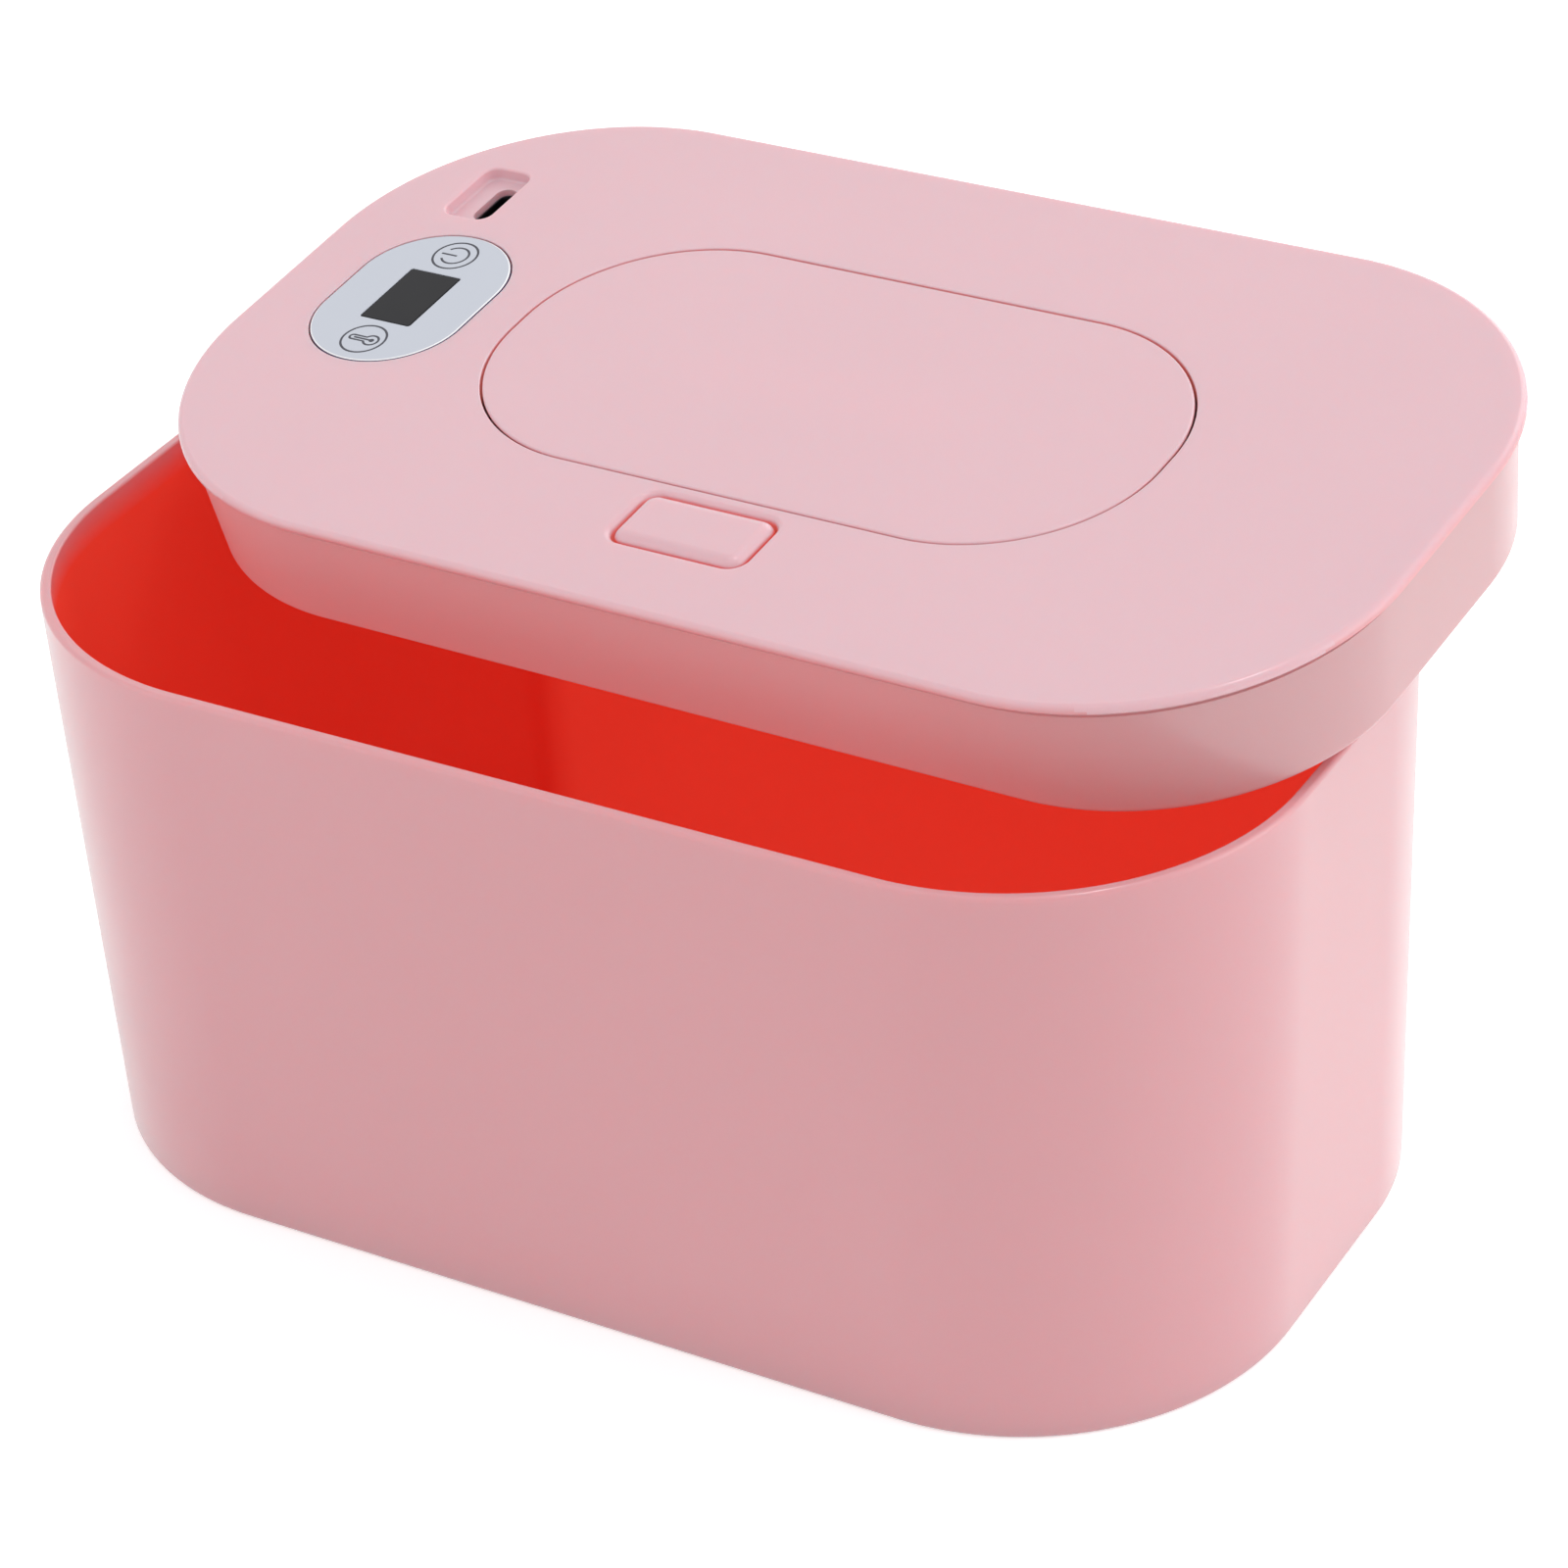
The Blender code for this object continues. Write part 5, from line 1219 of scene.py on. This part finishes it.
class WARMER_OT_charging_inlet(bpy.types.Operator):
    """Make the charging inlet with its tongue and contacts"""
    bl_idname = "warmer.charging_inlet"
    bl_label = "Charging Inlet"

    def execute(self, context):
        base = BOARD_TOP + FIT_GAP
        top = base + INLET_HEIGHT
        floor = top - INLET_CAVITY
        cavity = grown(INLET, -INLET_SHELL)
        tongue = (INLET_TONGUE, cavity[1] - 4 * INLET_SHELL, INLET_TONGUE / 3)
        bevel = FINE
        stations = [(INLET, base), (INLET, top - bevel), (grown(INLET, -bevel), top),
                    (grown(cavity, bevel / 2), top), (cavity, top - bevel), (cavity, floor), (tongue, floor),
                    (tongue, top - INLET_TONGUE - bevel), (grown(tongue, -bevel), top - INLET_TONGUE)]
        shell = solid("usb_inlet", loft(stations, 12, INLET_PLACE))
        dressed(shell, brushed("inlet shell", (0.11, 0.11, 0.12), 0.3), "inlet_shell", "usb_receptacle")
        contact = solid("contact", prism((0.00004, 0.00024, 0), -0.0012, 0.0012, steps=1))
        places = []
        for side in (-1, 1):
            for step in range(12):
                y = INLET_PLACE[1] + (step - 5.5) * 0.0005
                places.append((INLET_PLACE[0] + side * (INLET_TONGUE / 2 + 0.00002), y, top - 0.0022))
        gold = brushed("contact gold", (0.85, 0.62, 0.25), 0.25)
        contacts = copied("inlet_contacts", contact, places, gold)
        dressed(contacts, gold, "inlet_shell")
        return {'FINISHED'}


class WARMER_OT_outlet_gasket(bpy.types.Operator):
    """Make the silicone gasket whose soft slot holds the wipe"""
    bl_idname = "warmer.outlet_gasket"
    bl_label = "Outlet Gasket"

    def execute(self, context):
        low = FIT_GAP - WELL_DEPTH
        high = low + GASKET_FLANGE
        bottom = -WELL_DEPTH - GASKET_NECK
        neck = grown(THROAT, -FIT_GAP)
        edge = 0.0004
        stations = [(neck, bottom), (neck, low), (GASKET, low)]
        stations += round_over(GASKET, high - edge, edge, 1)
        stations += [(grown(SLOT, 0.0052), high), (grown(SLOT, 0.0046), high - 0.00035)]
        stations += [(grown(SLOT, 0.0016), high - 0.00035), (grown(SLOT, 0.0011), high)]
        stations += reversed(flared(SLOT, high, edge))
        stations.append((SLOT, bottom))
        gasket = solid("wipe_gasket", loft(stations, 28, closed=True))
        silicone = smooth_finish("gasket silicone", (0.8, 0.72, 0.72), 0.5)
        dressed(gasket, silicone, "silicone", "outlet_gasket")
        return {'FINISHED'}


def make_coil(name, place, turns, radii, wire, height, metal, slot="spring_wire", turn=Matrix.Identity(4)):
    """One coil spring, stood at a place of the lid and turned."""
    item = points_object(name + "_coil", [(0, 0, 0)])
    grown_by_tree(item, coil_tree, "coil spring", turns=float(turns), foot_radius=radii[0],
                  top_radius=radii[1], height=height, wire_radius=wire, material=metal)
    item.data.transform(Matrix.Translation(place) @ turn)
    dressed(item, metal, slot, name, angle=60)


def make_hinge_spring(metal):
    """The torsion spring on the pin, one leg on the bay's floor and one under the flip cover."""
    radius, pitch, turns, steps = 0.00105, 0.001, 5, 32
    half = turns * pitch / 2
    points = [(-half, HINGE_Y + radius, BAY_FLOOR + FIT_GAP + HINGE_WIRE)]
    for step in range(turns * steps + steps // 4 + 1):
        angle = step / steps * 2 * math.pi
        y = HINGE_Y + radius * math.cos(angle)
        points.append((-half + step / steps * pitch, y, radius * math.sin(angle) - HINGE_DEPTH))
    points.append((points[-1][0], HINGE_Y - 0.0072, -FLIP_THICK - FIT_GAP - HINGE_WIRE))
    item = stroked("hinge_spring_wire", [points], HINGE_WIRE, metal)
    dressed(item, metal, "spring_wire", "hinge_spring", angle=60)


class WARMER_OT_springs(bpy.types.Operator):
    """Make the touch springs, the button springs, the latch spring and the hinge spring"""
    bl_idname = "warmer.springs"
    bl_label = "Springs"

    def execute(self, context):
        copper = brushed("key spring copper", (0.8, 0.42, 0.25), 0.25)
        wire = brushed("spring wire", (0.58, 0.58, 0.6), 0.28)
        low = BOARD_TOP + FIT_GAP + KEY_WIRE
        height = -TOP_THICK - FIT_GAP - KEY_WIRE - low
        for name, side in (("touch_spring_power", 1), ("touch_spring_temperature", -1)):
            place = (PANEL_X, side * KEY_SPACING / 2, low)
            make_coil(name, place, 4, (0.0028, 0.0016), KEY_WIRE, height, copper, "key_spring")
        low = FIT_GAP + FINE_WIRE - POCKET_DEPTH
        height = CROWN_UNDERSIDE - BUTTON_TRAVEL - FIT_GAP - FINE_WIRE - low
        for name, side in (("button_spring_left", -1), ("button_spring_right", 1)):
            place = (side * BUTTON_SPRING_SPREAD / 2, BUTTON_Y, low)
            make_coil(name, place, 3, (0.001, 0.001), FINE_WIRE, height, wire)
        start = LATCH_FACE_Y - BUTTON_TRAVEL - 3 * SPRING_POST_THICK / 2 + FIT_GAP
        end = LATCH_STEP_Y - LATCH_BORE_WALL - BUTTON_TRAVEL - FIT_GAP
        lie_back = Matrix.Rotation(math.radians(-90), 4, 'X')
        place = (0, start, LATCH_BORE_Z)
        make_coil("latch_spring", place, 6, (0.0008, 0.0008), FINE_WIRE, end - start, wire, turn=lie_back)
        make_hinge_spring(wire)
        return {'FINISHED'}


def screw_model(head_radius, head_thick, shank_radius, length):
    """One pan head screw that points up from its seat at 0, with a cross recess and thread rings."""
    head = ((0.55, 1), (0.82, 0.9), (0.96, 0.6), (1, 0.25), (1, 0))
    profile = [(head_radius * across, -head_thick * up) for across, up in head]
    root = shank_radius * 0.86
    profile.append((root, 0))
    pitch = shank_radius * 0.7
    for turn in range(int((length - shank_radius) / pitch)):
        z = (turn + 0.5) * pitch
        profile += [(root, z), (shank_radius, z + pitch * 0.35), (root, z + pitch * 0.7)]
    profile += [(shank_radius * 0.8, length - shank_radius), (shank_radius * 0.3, length)]
    screw = solid("screw_model", lathe(profile, sides=28))
    reach, arm = head_radius * 1.15, head_radius * 0.28
    for size in ((reach, arm, arm / 3), (arm, reach, arm / 3)):
        cut(screw, prism(size, -head_thick - OVERRUN, -head_thick * 0.45, steps=3))
    return screw


class WARMER_OT_screws(bpy.types.Operator):
    """Make the six housing screws and the three board screws"""
    bl_idname = "warmer.screws"
    bl_label = "Screws"

    def execute(self, context):
        steel = brushed("screw steel", (0.6, 0.6, 0.62), 0.28)
        housing_seat = HEAD_BORE_DEPTH - LID_HEIGHT - FIT_GAP
        for name, sizes, spots, seat in (("housing_screw", HOUSING_SCREW, BOSS_PLACES, housing_seat),
                                         ("board_screw", BOARD_SCREW, BOARD_PLACES, BOARD_UNDERSIDE - FIT_GAP)):
            places = [(x, y, seat) for x, y in spots]
            item = copied(name + "s", screw_model(*sizes), places, steel, 1.5)
            dressed(item, steel, "steel", *(f"{name}_{number + 1}" for number in range(len(places))))
        return {'FINISHED'}


def laminate():
    """Green board with a faint pattern of tracks under the mask."""
    nodes = Nodes("board laminate")
    cells = nodes.add("ShaderNodeTexBrick", {
        "Vector": nodes.coordinates, "Scale": 220.0, "Mortar Size": 0.08})["Fac"]
    amount = nodes.ranged(cells, 0.0, 1.0, 0.0, 0.6)
    nodes.set(Base_Color=nodes.mixed(amount, (0.016, 0.13, 0.05), (0.05, 0.24, 0.1)))
    nodes.set(Roughness=nodes.uneven(0.3, 0.42, 200))
    nodes.set(Normal=nodes.raised(cells, 0.2, 0.0001))
    return nodes.material


class WARMER_OT_circuit(bpy.types.Operator):
    """Make the control board and the parts soldered on it"""
    bl_idname = "warmer.circuit"
    bl_label = "Control Board"

    def execute(self, context):
        sides = bevelled(BOARD, BOARD_UNDERSIDE, BOARD_TOP, FINE)
        board = solid("circuit_board", loft(sides, 8, BOARD_PLACE))
        low, high = BOARD_UNDERSIDE - OVERRUN, BOARD_TOP + OVERRUN
        cut(board, *posts(BOARD_SCREW[2] + SCREW_PLAY, low, high, BOARD_PLACES, 24))
        dressed(board, laminate(), "circuit_board", "control_board")
        x, y = BOARD_PLACE
        chips = [(x, y - 0.006), (x + 0.003, y + 0.006)]
        small = [(x - 0.007 + 0.0022 * step, y - 0.013) for step in range(6)]
        small += [(x - 0.008, y + 0.0024 * step) for step in range(5)]
        leads = [(cx + side * 0.0023, cy + (step - 3.5) * 0.0006)
                 for cx, cy in chips for side in (-1, 1) for step in range(8)]
        black = smooth_finish("chip black", (0.025, 0.025, 0.028), 0.45)
        tan = smooth_finish("capacitor tan", (0.45, 0.3, 0.16), 0.5)
        tin = brushed("chip lead tin", (0.66, 0.66, 0.66), 0.3)
        for name, size, height, steps, places, finish in (
                ("board_chips", (0.004, 0.005, 0.0002), 0.001, 2, chips, black),
                ("board_small_parts", (0.0006, 0.0012, 0.0001), 0.0006, 2, small, tan),
                ("board_chip_leads", (0.0008, 0.0003, 0), 0.00025, 1, leads, tin)):
            model = solid("model", prism(size, -height, 0, steps=steps))
            places = [(px, py, BOARD_UNDERSIDE - SOLDER_GAP) for px, py in places]
            dressed(copied(name, model, places, finish), finish, "circuit_board")
        return {'FINISHED'}


def heater_sheet(name, outer, low, high, edge=FINE):
    """A flat sheet with the throat's hole, its edges just broken."""
    stations = bevelled(outer, low, high, edge) + bevelled(HEATER_HOLE, high, low, -edge)
    return solid(name, loft(stations, 24, closed=True))


def rolled_aluminium():
    """Aluminium with fine rolling lines along its length."""
    nodes = Nodes("heater aluminium")
    streaks = nodes.add("ShaderNodeMapping", {"Vector": nodes.coordinates, "Scale": (6, 900, 900)})[0]
    lines = nodes.add("ShaderNodeTexNoise", {"Vector": streaks, "Scale": 1.0, "Detail": 3.0})["Fac"]
    nodes.set(Base_Color=nodes.mixed(lines, (0.66, 0.66, 0.67), (0.78, 0.78, 0.79)))
    nodes.set(Roughness=nodes.ranged(lines, 0.3, 0.7, 0.28, 0.42), Metallic=1.0)
    nodes.set(Normal=nodes.raised(lines, 0.06, 0.0002))
    return nodes.material


def etched_film():
    """Amber film with an etched meander of copper inside it."""
    nodes = Nodes("heater film")
    wave = nodes.add("ShaderNodeTexWave", {"Vector": nodes.coordinates, "Scale": 60.0, "Distortion": 0.0},
                     wave_type='BANDS', bands_direction='Y')["Fac"]
    trace = nodes.ranged(wave, 0.45, 0.55, 0.0, 1.0)
    nodes.set(Base_Color=nodes.mixed(trace, (0.5, 0.2, 0.04), (0.62, 0.3, 0.12)))
    nodes.set(Roughness=0.35, Normal=nodes.raised(trace, 0.15, 0.0001))
    return nodes.material


def foam():
    """Soft closed-cell foam."""
    nodes = Nodes("pad foam")
    cells = nodes.add("ShaderNodeTexVoronoi", {"Vector": nodes.coordinates, "Scale": 1600.0})["Distance"]
    nodes.set(Base_Color=nodes.mixed(cells, (0.62, 0.62, 0.6), (0.8, 0.8, 0.77)))
    nodes.set(Roughness=0.95, Normal=nodes.raised(cells, 0.5, 0.0003))
    return nodes.material


def make_leads():
    """Three thin twisted leads from the film up to the board."""
    start = Vector((-SENSOR_X, 0.0086, PAD_BASE))
    rise = BOARD_UNDERSIDE - FIT_GAP - start.z
    sleeve = smooth_finish("lead sleeve", (0.5, 0.5, 0.52), 0.5)
    lines = []
    for lead in range(3):
        line = []
        for step in range(25):
            share = step / 24
            angle = (lead / 3 + share * 0.8) * 2 * math.pi
            bow = 0.003 * math.sin(share * math.pi) ** 2
            aside = Vector((bow + LEAD_TWIST * math.cos(angle), LEAD_TWIST * math.sin(angle), rise * share))
            line.append(tuple(start + aside))
        lines.append(line)
    item = stroked("heater_leads", lines, 0.0004, sleeve, 12)
    dressed(item, sleeve, "lead_sleeve", "wiring_harness", angle=60)


class WARMER_OT_heater(bpy.types.Operator):
    """Make the heater's plate, film and pad, its sensor and fuse, and the leads to the board"""
    bl_idname = "warmer.heater"
    bl_label = "Heater"

    def execute(self, context):
        plate = heater_sheet("heater_plate", HEATER, HEATER_BASE, HEATER_BASE + HEATER_THICK)
        dressed(plate, rolled_aluminium(), "heater_plate", "heating_plate")
        film = heater_sheet("heater_film", FILM, FILM_BASE, FILM_BASE + FILM_THICK)
        dressed(film, etched_film(), "heater_film", "heating_film")
        wide = 2 * (BAY_FRONT - BAY_WALL - FIT_GAP)
        size = (FILM[0] - 0.03, wide, FILM[2])
        pad = heater_sheet("insulating_pad", size, PAD_BASE, PAD_BASE + PAD_THICK, 0.0005)
        dressed(pad, foam(), "pad_foam", "insulation_pad")
        bead = (0.003, 0.005, 0.0015)
        crown = 0.001
        stations = [(bead, PAD_BASE)] + round_over(bead, PAD_BASE + 0.0022 - crown, crown, 1)
        sensor = solid("sensor_bead", loft(stations, 10, (SENSOR_X, 0)))
        epoxy = smooth_finish("sensor bead", (0.03, 0.03, 0.035), 0.25)
        dressed(sensor, epoxy, "sensor_bead", "temperature_sensor")
        radius = 0.0015
        fuse = solid("fuse_body", pin_shape(radius, 0.005, 0.0003))
        along_y = Matrix(((1, 0, 0, -SENSOR_X), (0, 0, 1, 0), (0, -1, 0, PAD_BASE + radius), (0, 0, 0, 1)))
        fuse.data.transform(along_y)
        dressed(fuse, brushed("fuse case", (0.64, 0.58, 0.48), 0.35), "fuse_case", "thermal_fuse")
        make_leads()
        return {'FINISHED'}


def area_light(name, place, size, power):
    """A soft square lamp that faces the middle of the tub."""
    lamp = bpy.data.lights.new(name, 'AREA')
    lamp.shape = 'SQUARE'
    lamp.size = size
    lamp.energy = power
    item = placed(name, lamp)
    item.location = place
    item.rotation_euler = (Vector((0, 0, 0.05)) - Vector(place)).to_track_quat('-Z', 'Y').to_euler()


def seen(tree):
    """1 for rays that come from the camera, a gloss or glass, and 0 for the light on surfaces."""
    path = add_node(tree, "ShaderNodeLightPath")
    total = path["Is Camera Ray"]
    for name in ("Is Glossy Ray", "Is Transmission Ray"):
        total = add_node(tree, "ShaderNodeMath", {0: total, 1: path[name]}, operation='MAXIMUM')[0]
    return total


def make_floor():
    """A wide pale floor that reads as white around the object and keeps its soft shadow."""
    mesh = bmesh.new()
    bmesh.ops.create_circle(mesh, cap_ends=True, radius=6, segments=64)
    data = bpy.data.meshes.new("studio_floor")
    mesh.to_mesh(data)
    mesh.free()
    nodes = Nodes("studio floor")
    nodes.set(Base_Color=(0.9, 0.9, 0.9), Roughness=0.9, Specular_IOR_Level=0.1)
    glow = nodes.ranged(seen(nodes.tree), 0.0, 1.0, 0.0, 0.45)
    nodes.set(Emission_Color=(1, 1, 1), Emission_Strength=glow)
    data.materials.append(nodes.material)
    placed("studio_floor", data)


def make_world():
    """White behind the object, and a dimmer even light from all round."""
    world = bpy.data.worlds.new("studio")
    world.use_nodes = True
    bpy.context.scene.world = world
    tree = world.node_tree
    background = tree.nodes["Background"].inputs
    links = {"Value": seen(tree), "To Min": AMBIENT, "To Max": 1.0}
    give(tree, background["Strength"], add_node(tree, "ShaderNodeMapRange", links)["Result"])
    give(tree, background["Color"], (1, 1, 1))


def make_camera():
    """The camera, turned about its line of sight by its roll."""
    eye = Vector(EYE)
    back = (eye - Vector(AIM)).normalized()
    level = Vector((0, 0, 1)).cross(back).normalized()
    rise = back.cross(level)
    right = level * math.cos(ROLL) + rise * math.sin(ROLL)
    up = rise * math.cos(ROLL) - level * math.sin(ROLL)
    data = bpy.data.cameras.new("photograph_camera")
    data.lens = LENS
    data.sensor_width = 36
    data.clip_start = 0.05
    data.clip_end = 50
    camera = placed("photograph_camera", data)
    camera.matrix_world = Matrix.Translation(eye) @ Matrix((right, up, back)).transposed().to_4x4()
    bpy.context.scene.camera = camera


class WARMER_OT_stage(bpy.types.Operator):
    """Make the floor, the soft lights and the camera"""
    bl_idname = "warmer.stage"
    bl_label = "Stage"

    def execute(self, context):
        make_floor()
        make_world()
        make_camera()
        for lamp in LAMPS:
            area_light(*lamp)
        context.scene.view_settings.view_transform = 'Standard'
        return {'FINISHED'}


OPERATORS = (
    WARMER_OT_stage,
    WARMER_OT_tub,
    WARMER_OT_top_cover,
    WARMER_OT_lower_housing,
    WARMER_OT_flip_cover,
    WARMER_OT_release_button,
    WARMER_OT_latch,
    WARMER_OT_control_panel,
    WARMER_OT_charging_inlet,
    WARMER_OT_outlet_gasket,
    WARMER_OT_springs,
    WARMER_OT_screws,
    WARMER_OT_circuit,
    WARMER_OT_heater,
)


class WARMER_PT_pieces(bpy.types.Panel):
    """Lists the warmer's settings and pieces"""
    bl_label = "Wipe Warmer"
    bl_idname = "WARMER_PT_pieces"
    bl_space_type = 'VIEW_3D'
    bl_region_type = 'UI'
    bl_category = "Wipe Warmer"

    def draw(self, context):
        column = self.layout.column(align=True)
        for name in WarmerLook.__annotations__:
            column.prop(context.scene.warmer_look, name)
        for operator in OPERATORS:
            column.operator(operator.bl_idname)


CLASSES = (WarmerLook, *OPERATORS, WARMER_PT_pieces)


def register():
    """Add the settings, the operators and the panel to Blender."""
    for part in CLASSES:
        bpy.utils.register_class(part)
    bpy.types.Scene.warmer_look = PointerProperty(type=WarmerLook)


def unregister():
    """Take them out again."""
    del bpy.types.Scene.warmer_look
    for part in reversed(CLASSES):
        bpy.utils.unregister_class(part)


def main():
    """Make every piece in order."""
    register()
    bpy.ops.warmer.stage()
    bpy.ops.warmer.tub()
    bpy.ops.warmer.top_cover()
    bpy.ops.warmer.lower_housing()
    bpy.ops.warmer.flip_cover()
    bpy.ops.warmer.release_button()
    bpy.ops.warmer.latch()
    bpy.ops.warmer.control_panel()
    bpy.ops.warmer.charging_inlet()
    bpy.ops.warmer.outlet_gasket()
    bpy.ops.warmer.springs()
    bpy.ops.warmer.screws()
    bpy.ops.warmer.circuit()
    bpy.ops.warmer.heater()


if __name__ == "__main__":
    main()
